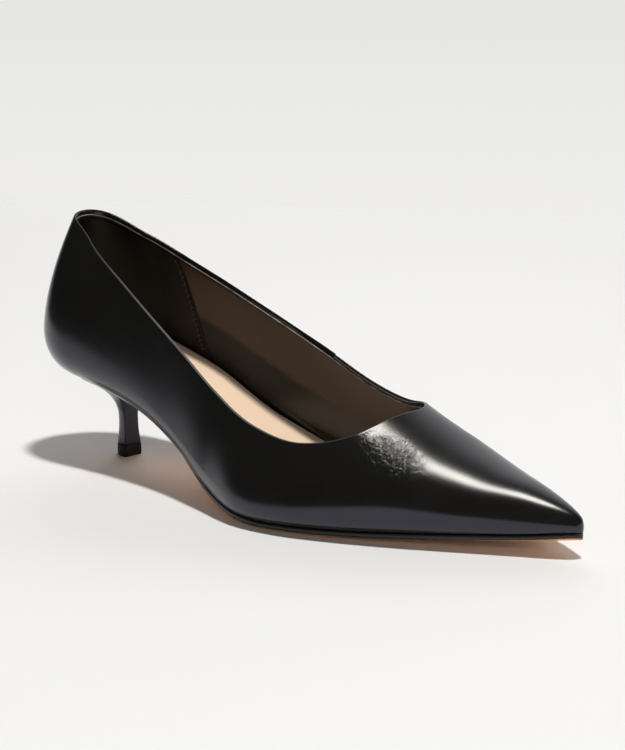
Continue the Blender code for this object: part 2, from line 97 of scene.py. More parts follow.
BOTTOM = (
    (0.0, 34.4), (20.0, 33.8), (45.0, 30.0), (75.0, 23.0), (105.0, 12.4), (130.0, 4.6),
    (150.0, 1.9), (170.0, 1.9), (195.0, 2.6), (225.0, 4.7), (250.0, 6.9), (264.0, 9.2),
)
TOPLINE_COLUMNS = ("x", "z_out", "z_in")
TOPLINE = (
    (190.9, None, None),
    (184.1, 36.9, 42.8),
    (168.0, 33.9, 40.5),
    (150.3, 36.6, 44.5),
    (125.0, 44.2, 54.9),
    (100.0, 55.6, 64.6),
    (75.0, 68.6, 73.8),
    (50.0, 82.8, 83.2),
    (31.0, 93.2, 92.0),
)
HEEL_COLUMNS = ("share", "breast", "back", "half")
HEEL_ROWS = (
    (0.00, 37.4, 29.2, 4.5),
    (0.20, 36.8, 29.9, 4.1),
    (0.40, 36.5, 30.1, 4.0),
    (0.56, 36.4, 29.3, 4.2),
    (0.70, 36.8, 26.6, 5.2),
    (0.82, 38.0, 22.2, 7.2),
    (0.92, 39.6, 17.3, 9.8),
    (1.00, 41.0, 13.6, 11.6),
)

# Soft creases of the vamp, the first one raised: x and y of the middle, turn in plan in degrees,
# half length, half width and depth
CREASES = (
    (189.0, -25.4, 20.0, 9.0, 4.5, -0.55),
    (187.5, -25.5, 62.0, 7.0, 1.5, 0.10),
    (191.5, -23.5, 57.0, 8.0, 1.4, 0.12),
    (195.5, -22.0, 52.0, 8.0, 1.3, 0.12),
    (199.5, -20.5, 48.0, 7.0, 1.3, 0.10),
    (204.0, -19.5, 45.0, 6.0, 1.4, 0.08),
    (190.0, 27.0, -60.0, 8.0, 1.5, 0.09),
    (196.0, 25.5, -54.0, 8.0, 1.5, 0.09),
)
SIDE_SEAM_X = 130.0    # side seam on the inner side, at the topline
SIDE_SEAM_LEAN = 0.12  # how far it runs forward for each millimetre down
SEAM_LEVEL = 55.0      # height at which its place is given
SEAM_LAP = 0.34        # thickness of its lapped edge
SEAM_RUN = 22.0        # length over which the lap rises
SEAM_EDGE = 0.45       # half width of the lap's step
SEAM_GROOVE = 0.12     # depth of the groove beside it
SEAM_GROOVE_HALF = 0.5  # half width of that groove
PAD_FRONT_X = 76.0     # front edge of the heel pad on the sock
PAD_EDGE = 0.7         # half width of the step at that edge
PAD_CURVE = 0.0035     # how strongly that edge is curved in plan
GRIP_FRONT = 58.5      # front edge of the heel grip at its foot
GRIP_LEAN = 13.5       # how far that edge leans back on its way up
GRIP_ROUND = 0.6       # share of the grip's half that lies round the back
GRIP_ROLL = 0.1        # share of the grip's height below the widest line
GRIP_COLUMNS = 120
GRIP_ROWS = 40
GRIP_MIDDLE = np.array([HEEL_CENTRE + 10.0, 0.0, 60.0])
STITCH_ROW = 44.0      # length of a row of stitches
STITCH_START = 0.16    # share of the grip's height where a row starts
STITCH_SPAN = 0.82     # share of the height that it takes
STITCH_INSETS = (0.075, 0.035)  # shares of the grip's half between its edge and a stitch's ends
STITCH_FILL = 0.92     # share of the way between two holes that shows thread
HEEL_STEPS = 36        # steps round the back of the heel
BREAST_GROW = 0.2      # share of a growth that the breast takes
HEEL_ROUND = 0.45      # rounding of the heel's breast edges
TIP_ROUND = 0.4        # rounding of the wearing piece's breast edges
TOE_STIFF_X = 230.0    # start of the stiffened toe
TOE_STIFF_KEEP = 0.95  # share of a depth that is lost at its tip
TOE_DRAW_X = 240.0     # start of the inside's drawn back tip
TOE_DRAW = 9.0         # how far the tip is drawn back
WELD = 0.004           # points closer than this are merged

# Places on the last with a finish of their own: middle and radii in millimetres
OUTER_WRINKLES = ((199.2, -23.0, 29.8), (18.5, 12.2, 12.1))
INNER_WRINKLES = ((195.0, 27.0, 32.5), (12.0, 9.0, 10.0))
VAMP_TOP = ((222.0, 3.0, 34.0), (85.0, 55.0, 30.0))
# near side of the topline, where its fold carries a painted highlight
NEAR_TOPLINE_HIGHLIGHT = ((110.0, -50.0, 70.0), (120.0, 45.0, 70.0))
LINING_GLEAM = ((122.0, 28.0, 21.0), (34.0, 16.0, 14.0))

# Finishes
LEATHER_TINT = (0.79, 0.77, 1.0)        # cool shine of the black leather
LINING_SHINE = 0.30                     # polish of the lining's upper part
LINING_PAINTED_SHADE = (0.0030, 0.0024, 0.0018)  # painted shade on the lower part of the lining
LINING_LOW_SHINE = 0.55                 # polish of a rubbed place low on it
WRINKLE = 1.5                           # height of the wrinkles beside the throat
VAMP_SOFT = 0.07                        # extra roughness of the vamp
BREAST_DULL = 0.3                       # extra roughness of the heel's breast
CUT_EDGE_AND_HIGHLIGHT = (0.45, 0.42, 0.38)           # pale raw edge of the lining, partly painted highlight
TOPLINE_HIGHLIGHT_COLOUR = (0.15, 0.14, 0.145)         # painted highlight on the fold of the topline
SOLE_EDGE = (0.010, 0.010, 0.010)       # painted edge of the sole
WRINKLE_STRETCH = (1.0, 0.32, 0.32)     # wrinkles are longer across and up than along
PATCH_EDGE = (1.15, 0.35)               # shares of its radii where a patch ends and is full
NUMBER = "NodeSocketFloat"
VECTOR = "NodeSocketVector"

# Stage, in metres; a glow is a range of direction or height and the brightness at its two ends
FLOOR_RADIUS = 3.0
FLOOR_MIDDLE = (-0.27, -0.10, 0.0)      # middle of the part of the floor that shows
FLOOR_FADE = (1.0, 1.0, 1.0)            # radii at which it fades into the backdrop
SHEEN_PLACE = (0.07, 0.22, 2.2)         # light seen only in the polish
FRONT_PLACE = (0.80, -0.78, 0.38)       # low soft light on the viewer's side
REAR_PLACE = (-1.30, 1.50, 0.80)        # low soft light behind the shoe
BRIGHT_SIDE = (-0.261, 0.965, 0.0)      # way to the bright wall behind the shoe
KEY_COLOUR = (1.0, 0.995, 0.98)         # slightly warm key light
SHEEN_COLOUR = (1.0, 1.0, 0.74)         # warm light seen in the polish
STUDIO_COLOUR = (0.98, 0.985, 1.0)      # light from all round
WALL_GLOW = (0.3, 0.85, 0.01, 0.66)     # bright wall behind the shoe
ABOVE_GLOW = (0.5, 1.0, 1.0, 0.25)      # darker towards the ceiling
GROUND_GLOW = (0.25, 0.75, 0.04, 0.75)  # what is reflected below the horizon
BACKDROP_FADE = (-0.03, -0.14, 1.0, 1.09)  # backdrop as the eye sees it, brighter lower down

TIP_LOW, TIP_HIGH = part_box("heel_tip")
SHIFT = np.array([HEEL_ROWS[0][1] + BREAST_GROW * TIP_STEP - TIP_HIGH[0] / MM,
                  -0.5 * (TIP_LOW[1] + TIP_HIGH[1]) / MM, 0.0])


class ShoeSizes(bpy.types.PropertyGroup):
    """Thicknesses and fine sizes of the shoe's materials."""

    leather: FloatProperty(name="Leather", description="Thickness of the folded leather",
                           default=1.2 * MM, min=0.4 * MM, unit="LENGTH", precision=5)
    lining: FloatProperty(name="Lining", description="Thickness of the lining",
                          default=0.5 * MM, min=0.2 * MM, unit="LENGTH", precision=5)
    lining_drop: FloatProperty(name="Lining drop",
                               description="Depth of the lining's cut edge under the topline",
                               default=1.9 * MM, min=0.0, unit="LENGTH", precision=5)
    grip: FloatProperty(name="Heel grip", description="Thickness of the heel grip",
                        default=0.4 * MM, min=0.1 * MM, unit="LENGTH", precision=5)
    stitch_pitch: FloatProperty(name="Stitch pitch", description="Distance between two zigzag stitches",
                                default=1.3 * MM, min=0.5 * MM, unit="LENGTH", precision=5)
    thread: FloatProperty(name="Thread", description="Radius of the sewing thread",
                          default=0.17 * MM, min=0.05 * MM, unit="LENGTH", precision=5)
    pad_step: FloatProperty(name="Pad step", description="Height of the heel pad's front edge",
                            default=0.35 * MM, min=0.0, unit="LENGTH", precision=5)
    wall_rows: IntProperty(name="Wall rows", description="Rows of faces up the wall of the upper",
                           default=34, min=8, max=60)


class ShoeFinish(bpy.types.PropertyGroup):
    """Colours of the shoe's materials."""

    leather: FloatVectorProperty(name="Leather", description="Black outer leather", subtype="COLOR",
                                 default=(0.0096, 0.0092, 0.0080), min=0.0, max=1.0)
    lining: FloatVectorProperty(name="Lining", description="Dark inner leather", subtype="COLOR",
                                default=(0.0262, 0.0089, 0.0008), min=0.0, max=1.0)
    grip: FloatVectorProperty(name="Heel grip", description="Near black heel grip", subtype="COLOR",
                              default=(0.0032, 0.0023, 0.0018), min=0.0, max=1.0)
    thread: FloatVectorProperty(name="Thread", description="Sewing thread of the heel grip", subtype="COLOR",
                                default=(0.080, 0.058, 0.040), min=0.0, max=1.0)
    sock: FloatVectorProperty(name="Sock", description="Beige sock", subtype="COLOR",
                              default=(0.93, 0.70, 0.505), min=0.0, max=1.0)
    sole: FloatVectorProperty(name="Sole", description="Tan underside of the sole", subtype="COLOR",
                              default=(0.90, 0.40, 0.10), min=0.0, max=1.0)
    tip: FloatVectorProperty(name="Heel tip", description="Black wearing piece", subtype="COLOR",
                             default=(0.008, 0.008, 0.008), min=0.0, max=1.0)


class ShoeStage(bpy.types.PropertyGroup):
    """Floor, light and camera."""

    floor: FloatVectorProperty(name="Floor", description="Pale floor", subtype="COLOR",
                               default=(0.80, 0.795, 0.785), min=0.0, max=1.0)
    backdrop: FloatVectorProperty(name="Backdrop", description="Pale backdrop", subtype="COLOR",
                                  default=(0.80, 0.795, 0.78), min=0.0, max=1.0)
    key_place: FloatVectorProperty(name="Key light", description="Place of the key light",
                                   default=(0.290, 0.075, 2.226), subtype="TRANSLATION", unit="LENGTH")
    key_power: FloatProperty(name="Key power", description="Power of the key light",
                             default=42.0, min=0.0, unit="POWER")
    fill_power: FloatProperty(name="Fill power", description="Power of the soft light overhead",
                              default=2.0, min=0.0, unit="POWER")
    front_power: FloatProperty(name="Front fill power", description="Power of the low light in front",
                               default=3.2, min=0.0, unit="POWER")
    rear_power: FloatProperty(name="Rear fill power", description="Power of the low light behind",
                              default=16.0, min=0.0, unit="POWER")
    sheen_power: FloatProperty(name="Sheen power", description="Power of the light seen in the polish",
                               default=23.0, min=0.0, unit="POWER")
    sheen_size: FloatProperty(name="Sheen size", description="Width of the light seen in the polish",
                              default=0.6, min=0.05, unit="LENGTH")
    fill_height: FloatProperty(name="Fill height", description="Height of the soft light overhead",
                               default=1.6, min=0.5, unit="LENGTH")
    fill_size: FloatProperty(name="Fill size", description="Side of the soft light overhead",
                             default=1.4, min=0.1, unit="LENGTH")
    key_size: FloatProperty(name="Key size", description="Diameter of the key light",
                            default=0.24, min=0.01, unit="LENGTH")
    camera_place: FloatVectorProperty(name="Camera", description="Place of the camera",
                                      default=(0.5360, -0.5571, 0.2098), subtype="TRANSLATION", unit="LENGTH")
    camera_aim: FloatVectorProperty(name="Aim", description="Direction of view", subtype="XYZ",
                                    default=(-0.6682, 0.7155, -0.2039))
    lens: FloatProperty(name="Lens", description="Focal length in millimetres", default=98.4, min=10.0)


def column(table, names, name):
    """One named column of a table as an array."""
    place = names.index(name)
    return np.array([np.nan if row[place] is None else row[place] for row in table])


def through(knots, values, x):
    """Smooth curve through the values at the knots."""
    x = np.asarray(x, float)
    step = np.diff(knots)
    rise = np.diff(values) / step
    slope = np.empty(len(knots))
    slope[0] = rise[0]
    slope[-1] = rise[-1]
    slope[1:-1] = (step[1:] * rise[:-1] + step[:-1] * rise[1:]) / (step[1:] + step[:-1])
    k = np.clip(np.searchsorted(knots, x) - 1, 0, len(step) - 1)
    t = np.clip((x - knots[k]) / step[k], 0.0, 1.0)
    ahead = 1.0 - t
    return ((1 + 2 * t) * ahead ** 2 * values[k] + t * ahead ** 2 * step[k] * slope[k]
            + t * t * (3 - 2 * t) * values[k + 1] - t * t * ahead * step[k] * slope[k + 1])


def toe_measure(x):
    """Length measure that opens up the tip, so that widths close in a round point."""
    return -np.sqrt(np.maximum(TOE_TIP - np.asarray(x, float), 0.0))


SECTION_X = toe_measure(column(SECTIONS, SECTION_COLUMNS, "x"))


def section(name, x):
    """A named section size at x."""
    return through(SECTION_X, column(SECTIONS, SECTION_COLUMNS, name), toe_measure(x))


def sided(name, side, x):
    """A section size that has an outer and an inner value."""
    return section(name + ("_out" if side == OUT else "_in"), x)


def bottom(x):
    """Height of the centre line of the bottom."""
    return through(column(BOTTOM, BOTTOM_COLUMNS, "x"), column(BOTTOM, BOTTOM_COLUMNS, "z"), x)


def ease(x, start, end):
    """Smooth step from 0 at start to 1 at end."""
    t = np.clip((np.asarray(x, float) - start) / (end - start), 0.0, 1.0)
    return t * t * (3.0 - 2.0 * t)


def bottom_at(x, y):
    """Height of the bottom surface of the lasted upper at a point in plan."""
    off = y - section("swing", x)
    half = np.where(off < 0, sided("foot", OUT, x), sided("foot", IN, x))
    half = np.maximum(half, 0.001)
    crown = CROWN * half / (half + 3.0)
    return bottom(x) + crown * np.minimum(np.abs(off) / half, 1.0) ** 2


def wall_points(x, side, level):
    """Points on the outside: level 0 to 1 is the roll under the foot, 1 to 2 the wall."""
    x, level = np.broadcast_arrays(np.asarray(x, float), np.asarray(level, float))
    foot = sided("foot", side, x)
    wide = sided("wide", side, x)
    middle = section("swing", x)
    z_foot = bottom_at(x, middle + side * foot)
    z_wide = bottom(x) + section("wide_up", x)
    roll = np.clip(level, 0.0, 1.0) * math.pi / 2
    turn = np.clip(level - 1.0, 0.0, 1.0) * math.pi / 2
    low = level <= 1.0
    r = np.where(low, foot + (wide - foot) * np.sin(roll), wide * np.cos(turn))
    z = np.where(low, z_foot + (z_wide - z_foot) * (1.0 - np.cos(roll)),
                 z_wide + (section("ridge", x) - z_wide) * np.sin(turn) ** sided("rise", side, x))
    return np.stack([x, middle + side * r, z], -1)


def top_level(x, side, z):
    """Level at which the section at x reaches the height z."""
    z_wide = bottom(x) + section("wide_up", x)
    share = np.clip((z - z_wide) / (section("ridge", x) - z_wide), 0.0, 1.0)
    return 1.0 + np.arcsin(share ** (1.0 / sided("rise", side, x))) / (math.pi / 2)


def topline_x(share, drop):
    """Topline position at a share of the way from the throat to the heel."""
    places = column(TOPLINE, TOPLINE_COLUMNS, "x")
    places[0] += drop
    return through(np.linspace(0.0, 1.0, len(TOPLINE)), places, share)


def topline_z(share, side, drop):
    """Topline height at a share of the way from the throat to the heel."""
    heights = column(TOPLINE, TOPLINE_COLUMNS, "z_out" if side == OUT else "z_in") - drop
    heights[0] = float(section("ridge", TOPLINE[0][0] + drop))
    return through(np.linspace(0.0, 1.0, len(TOPLINE)), heights, share)


def topline_share(x, drop):
    """Share of the topline at a position along the foot."""
    shares = np.linspace(0.0, 1.0, 801)
    return np.interp(x, topline_x(shares, drop)[::-1], shares[::-1])


def heel_blend(turn):
    """Blend from the side of the heel counter to its back."""
    share = np.asarray(turn, float) / (math.pi / 2)
    return share + 0.3 * (share ** 2 - share ** 3)


def heel_top(turn, side, drop):
    """Level at which the heel counter ends, a drop under the topline."""
    z_top = TOPLINE[-1][1 if side == OUT else 2]
    full = top_level(HEEL_CENTRE, side, z_top) - 1.0
    at_side = (top_level(HEEL_CENTRE, side, z_top - drop) - 1.0) / full
    at_back = 1.0 - drop / (HEEL_TOP_Z - float(bottom(0.0)) - BACK_WIDE_UP)
    return 1.0 + at_side + (at_back - at_side) * heel_blend(turn)


def heel_points(turn, level, side, grow=0.0):
    """Points on the heel counter; turn is 0 at the side and a quarter turn at the back."""
    turn, level = np.broadcast_arrays(np.asarray(turn, float), np.asarray(level, float))
    c = np.abs(np.cos(turn))
    s = np.sin(turn)
    foot = float(sided("foot", side, HEEL_CENTRE))
    wide = float(sided("wide", side, HEEL_CENTRE))
    ridge = float(section("ridge", HEEL_CENTRE))
    z_wide = float(bottom(HEEL_CENTRE) + section("wide_up", HEEL_CENTRE))
    z_top = TOPLINE[-1][1 if side == OUT else 2]
    full = float(top_level(HEEL_CENTRE, side, z_top) - 1.0) * math.pi / 2
    ahead_x = float(topline_x(0.99, 0.0))
    ahead_z = float(topline_z(0.99, side, 0.0))
    ahead_top = float(top_level(ahead_x, side, ahead_z))
    slope = (z_top - ahead_z) / (ahead_x - HEEL_CENTRE)
    start = slope * wide * math.cos(full) * math.pi / 2 / (HEEL_TOP_Z - z_top)

    def plan(half, back, ahead_level):
        """Points of the rounded heel outline, flaring as the quarters do."""
        ahead = np.abs(wall_points(ahead_x, side, ahead_level)[..., 1] - float(section("swing", ahead_x)))
        flare = (ahead - half) / (ahead_x - HEEL_CENTRE)
        half = half + grow
        back = back + grow
        r = ((c / half) ** PLAN_POWER + (s / back) ** PLAN_POWER) ** (-1.0 / PLAN_POWER)
        return HEEL_CENTRE - r * s, side * r * c * (1.0 - flare * r * s * (1.0 - s) / half)

    seat_x, seat_y = plan(np.full(turn.shape, foot), HEEL_SEAT_BACK, np.zeros(turn.shape))
    z_seat = bottom_at(seat_x, seat_y)
    z_wide_back = float(bottom(0.0)) + BACK_WIDE_UP
    blend = heel_blend(turn)
    z_here = z_wide + (z_wide_back - z_wide) * blend
    low = level <= 1.0
    roll = np.clip(level, 0.0, 1.0) * math.pi / 2
    up = np.clip(level - 1.0, 0.0, 1.0)
    half = np.where(low, foot + (wide - foot) * np.sin(roll), wide * np.cos(full * up))
    back = np.where(low, HEEL_SEAT_BACK + (HEEL_BACK - HEEL_SEAT_BACK) * np.sin(roll),
                    HEEL_BACK - (HEEL_BACK - HEEL_TOP_BACK) * up ** BACK_LEAN)
    z_side = z_wide + (ridge - z_wide) * np.sin(full * up) ** float(sided("rise", side, HEEL_CENTRE))
    z_back = z_wide_back + (HEEL_TOP_Z - z_wide_back) * up
    share = turn / (math.pi / 2)
    at_top = start * share + (3.0 - 2.0 * start) * share ** 2 + (start - 2.0) * share ** 3
    wall_blend = blend + (at_top - blend) * up
    z = np.where(low, z_seat + (z_here - z_seat) * (1.0 - np.cos(roll)),
                 z_side + (z_back - z_side) * wall_blend)
    x, y = plan(half, back, np.where(low, level, 1.0 + (ahead_top - 1.0) * up))
    return np.stack([x, y, z], -1)


class Wrap:
    """The outside of the last as columns round the shoe, from the seat edge to the topline.

    Columns run from the back seam along the outer side to the toe and back along the
    inner side. The pairs of columns of the vamp meet at its ridge.
    """

    def __init__(self, drop, steps, roll_rows, wall_rows, fine_x=()):
        heel_steps, quarter_steps, vamp_steps = steps
        turn = math.pi / 2 * (1.0 - np.arange(heel_steps) / heel_steps)
        share = (1.0 - np.arange(quarter_steps + 1) / quarter_steps) ** 1.6
        share = np.unique(np.concatenate([share, topline_share(np.asarray(fine_x, float), drop)]))[::-1]
        throat = TOPLINE[0][0] + drop
        spacing = math.pi / 2 * np.arange(1, vamp_steps + 1) / vamp_steps
        vamp_x = throat + (TOE_TIP - throat) * np.sin(spacing) ** 2
        self.first_vamp = heel_steps + len(share) - 1
        self.last = self.first_vamp + vamp_steps
        roll = np.arange(roll_rows) / roll_rows
        up = np.linspace(0.0, 1.0, wall_rows + 1)
        halves = {}
        edges = {}
        for side in (OUT, IN):
            turns = turn[:, None]
            heel = heel_points(turns, self.rows(roll, up, heel_top(turns, side, drop)), side)
            x = topline_x(share, drop)[:, None]
            top = top_level(x, side, topline_z(share, side, drop)[:, None])
            quarter = wall_points(x, side, self.rows(roll, up, top))
            x = vamp_x[:, None]
            vamp = wall_points(x, side, self.rows(roll, up, np.full(x.shape, 2.0)))
            halves[side] = np.concatenate([heel, quarter, vamp])
            edges[side] = self.margin(turn, np.concatenate([topline_x(share, drop), vamp_x]), side)
        self.points = np.concatenate([halves[OUT], halves[IN][-2:0:-1]])
        self.edge = np.concatenate([edges[OUT], edges[IN][-2:0:-1]])
        self.count = len(self.points)
        self.side = np.where(np.arange(self.count) <= self.last, OUT, IN)

    @staticmethod
    def rows(roll, up, top):
        """Levels of the rows of each column."""
        low = np.broadcast_to(roll, (len(top), len(roll)))
        return np.concatenate([low, 1.0 + (top - 1.0) * up], 1)

    @staticmethod
    def margin(turn, x, side):
        """Edge of the leather that is turned in under the foot."""
        back = heel_points(turn, np.zeros(len(turn)), side, -MARGIN)
        edge_x = x - 12.0 * ease(x, 205.0, TOE_TIP)
        inset = MARGIN * (1.0 - 0.85 * ease(x, 210.0, TOE_TIP))
        half = np.maximum(sided("foot", side, x) - inset, 0.0)
        front = np.stack([edge_x, section("swing", edge_x) + side * half, np.zeros(len(x))], -1)
        made = np.concatenate([back, front])
        made[:, 2] = bottom_at(made[:, 0], made[:, 1])
        return made

    def twin(self, station):
        """Column on the inner side that faces a station of the outer side."""
        return (2 * self.last - station) % self.count

    def opening(self):
        """Columns round the opening, from the throat along the outer side to the heel and back."""
        outer = list(range(self.first_vamp, -1, -1))
        return outer + [self.twin(i) for i in range(1, self.first_vamp)]


def start_ring(bm, points):
    """Ring of vertices at the points."""
    ring = bmesh.ops.create_circle(bm, segments=len(points), radius=1.0)["verts"]
    for vert, point in zip(ring, points):
        vert.co = point
    return ring


def next_ring(bm, ring, points):
    """Extrude a ring and move the new one to the points."""
    edges = [bm.edges.get((a, b)) for a, b in zip(ring, ring[1:] + ring[:1])]
    made = bmesh.ops.extrude_edge_only(bm, edges=edges)["geom"]
    fresh = {item for item in made if isinstance(item, bmesh.types.BMVert)}
    after = []
    for vert, point in zip(ring, points):
        twin = next(edge.other_vert(vert) for edge in vert.link_edges if edge.other_vert(vert) in fresh)
        twin.co = point
        after.append(twin)
    return after


def loft(bm, rings):
    """Skin through rings of points; returns the rings of vertices."""
    made = [start_ring(bm, rings[0])]
    for points in rings[1:]:
        made.append(next_ring(bm, made[-1], points))
    return made


def join_pairs(bm, ring, wrap, first):
    """Join the two columns of each station along the vamp's ridge."""
    pairs = {ring[wrap.twin(i)]: ring[i] for i in range(first, wrap.last)}
    bmesh.ops.weld_verts(bm, targetmap=pairs)
    for i in range(first, wrap.last):
        ring[wrap.twin(i)] = ring[i]


def face_out(bm):
    """Turn all faces outwards."""
    bmesh.ops.recalc_face_normals(bm, faces=bm.faces[:])
    bm.normal_update()


def inward(points, normals, depth):
    """Points moved in by a depth, drawn back at the stiffened toe."""
    x = points[..., 0]
    keep = 1.0 - TOE_STIFF_KEEP * ease(x, TOE_STIFF_X, TOE_TIP)
    moved = points - normals * (depth * keep)[..., None]
    moved[..., 0] -= (TOE_DRAW + 0.4 * (depth - 1.2)) * ease(x, TOE_DRAW_X, TOE_TIP) * (depth > 0.0)
    return moved


def wrap_normals(wrap):
    """Outward normals of the wrap's points, taken from a skin through them."""
    bm = bmesh.new()
    rings = loft(bm, [wrap.points[:, row] for row in range(wrap.points.shape[1])])
    join_pairs(bm, rings[-1], wrap, wrap.first_vamp)
    face_out(bm)
    normals = np.array([[vert.normal[:] for vert in ring] for ring in rings]).transpose(1, 0, 2)
    back_seam = normals[0, -8]
    if back_seam[0] > 0.0:
        normals = -normals
    bm.free()
    return normals


def shell(wrap, normals, outer, depth_out, depth_in, edge=None):
    """Closed sheet round the last between two depths, rounded at its opening.

    The outer points may carry seams and creases; the inner ones follow the plain last.
    """
    bm = bmesh.new()
    mark = bm.verts.layers.float.new("rim")
    outside = outer if depth_out == 0.0 else inward(wrap.points, normals, np.full(outer.shape[:2], depth_out))
    inside = inward(wrap.points, normals, np.full(outer.shape[:2], depth_in))
    rows = [outside[:, row] for row in range(outside.shape[1])]
    if edge is not None:
        rows.insert(0, edge)
    rings = loft(bm, rows)
    join_pairs(bm, rings[-1], wrap, wrap.first_vamp)
    ring = rings[0]
    if edge is not None:
        ring = next_ring(bm, ring, edge + np.array([0.0, 0.0, depth_in]))
    for row in range(inside.shape[1]):
        ring = next_ring(bm, ring, inside[:, row])
    join_pairs(bm, ring, wrap, wrap.first_vamp)
    keys = wrap.opening()
    top = outside[keys, -1]
    normal = normals[keys, -1]
    along = np.roll(top, -1, 0) - np.roll(top, 1, 0)
    over = np.cross(along, normal)
    over /= np.linalg.norm(over, axis=1)[:, None]
    if over[wrap.first_vamp, 2] < 0.0:
        over = -over
    radius = 0.5 * (depth_in - depth_out)
    rim = [rings[-1][key] for key in keys]
    low = [ring[key] for key in keys]
    for turn in np.linspace(0.0, math.pi, 9)[1:-1]:
        points = top + normal * radius * (math.cos(turn) - 1.0) + over * radius * math.sin(turn)
        rim = next_ring(bm, rim, points)
        for vert in rim:
            vert[mark] = 1.0
    rim = next_ring(bm, rim, np.array([vert.co[:] for vert in low]))
    bmesh.ops.weld_verts(bm, targetmap=dict(zip(rim, low)))
    bmesh.ops.remove_doubles(bm, verts=bm.verts[:], dist=WELD)
    face_out(bm)
    return bm


def add_piece(name, bm, look, node):
    """Turn a mesh in millimetres of the last into a piece of the shoe."""
    for vert in bm.verts:
        vert.co = (vert.co - Vector(SHIFT)) * MM
    for face in bm.faces:
        face.smooth = True
    mesh = bpy.data.meshes.new(name)
    bm.to_mesh(mesh)
    bm.free()
    mesh.materials.append(look)
    piece = bpy.data.objects.new(name, mesh)
    bpy.context.scene.collection.objects.link(piece)
    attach(piece, "root")
    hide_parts(node)
    return piece


def seams_and_creases(wrap, normals):
    """Outer points with the lapped side seam and the soft creases of the vamp."""
    points = wrap.points
    x = points[..., 0]
    y = points[..., 1]
    z = points[..., 2]
    seam = SIDE_SEAM_X + SIDE_SEAM_LEAN * (SEAM_LEVEL - z)
    lap = SEAM_LAP * ease(x, seam - SEAM_RUN, seam - 1.0)
    lap = lap * (1.0 - ease(x, seam - SEAM_EDGE, seam + SEAM_EDGE))
    groove = SEAM_GROOVE * np.exp(-((x - seam - SEAM_GROOVE_HALF) / SEAM_GROOVE_HALF) ** 2)
    lift = np.where(wrap.side[:, None] == IN, lap - groove, 0.0)
    above = ease(z - bottom(x) - section("wide_up", x), 4.0, 9.0)
    for cx, cy, turn, length, width, depth in CREASES:
        c = math.cos(math.radians(turn))
        s = math.sin(math.radians(turn))
        run = ((x - cx) * c + (y - cy) * s) / length
        off = ((y - cy) * c - (x - cx) * s) / width
        lift = lift - depth * above * np.exp(-run ** 4 - off ** 2)
    return points + normals * lift[..., None]


def rise_shares(points):
    """Share of the wall's height at points inside, 0 at the sock and 1 at the topline."""
    x = np.clip(points[:, 0], HEEL_CENTRE, TOPLINE[0][0])
    along = topline_share(x, 0.0)
    outer = points[:, 1] < section("swing", x)
    top = np.where(outer, topline_z(along, OUT, 0.0), topline_z(along, IN, 0.0))
    top = np.where(points[:, 0] < HEEL_CENTRE, HEEL_TOP_Z, top)
    sock = section("sock_up", np.maximum(points[:, 0], HEEL_CENTRE))
    base = bottom(np.clip(points[:, 0], 0.0, TOE_TIP)) + sock
    return np.clip((points[:, 2] - base) / np.maximum(top - base, 1.0), 0.0, 1.0)


def sole_lines(wrap_x, turn, side):
    """Seat edge of the upper and edge of the outsole above the floor, in plan."""
    out = float(section("sole_out", HEEL_CENTRE))
    seat_back = heel_points(turn, np.zeros(len(turn)), side)
    edge_back = heel_points(turn, np.zeros(len(turn)), side, out)
    edge_back[:, 2] = seat_back[:, 2]
    out = section("sole_out", wrap_x)
    seat = wall_points(wrap_x, side, np.zeros(len(wrap_x)))
    edge = seat.copy()
    edge[:, 1] += side * out
    roll = np.maximum(sided("wide", side, wrap_x) - sided("foot", side, wrap_x), 0.001)
    tall = wall_points(wrap_x, side, np.ones(len(wrap_x)))[:, 2] - seat[:, 2]
    edge[:, 2] += tall * (1.0 - np.sqrt(np.maximum(0.0, 1.0 - np.minimum(out / roll, 1.0) ** 2)))
    return np.concatenate([seat_back, seat]), np.concatenate([edge_back, edge])


def sole_bottom_at(x, y):
    """Underside of the outsole; flat where it would pass through the floor."""
    return np.maximum(bottom_at(x, y) - GAP - SOLE_THICK, 0.0)


def both_sides(outer, inner):
    """Ring of points from a half on each side."""
    return np.concatenate([outer, inner[-2:0:-1]])


def plan_stations(heel_steps, steps):
    """Turns round the heel and positions along the foot for the sole and the sock."""
    turn = math.pi / 2 * (1.0 - np.arange(heel_steps) / heel_steps)
    share = np.arange(steps + 1) / steps
    x = HEEL_CENTRE + (TOE_TIP - HEEL_CENTRE) * (1.0 - (1.0 - share) ** 1.7)
    return turn, x


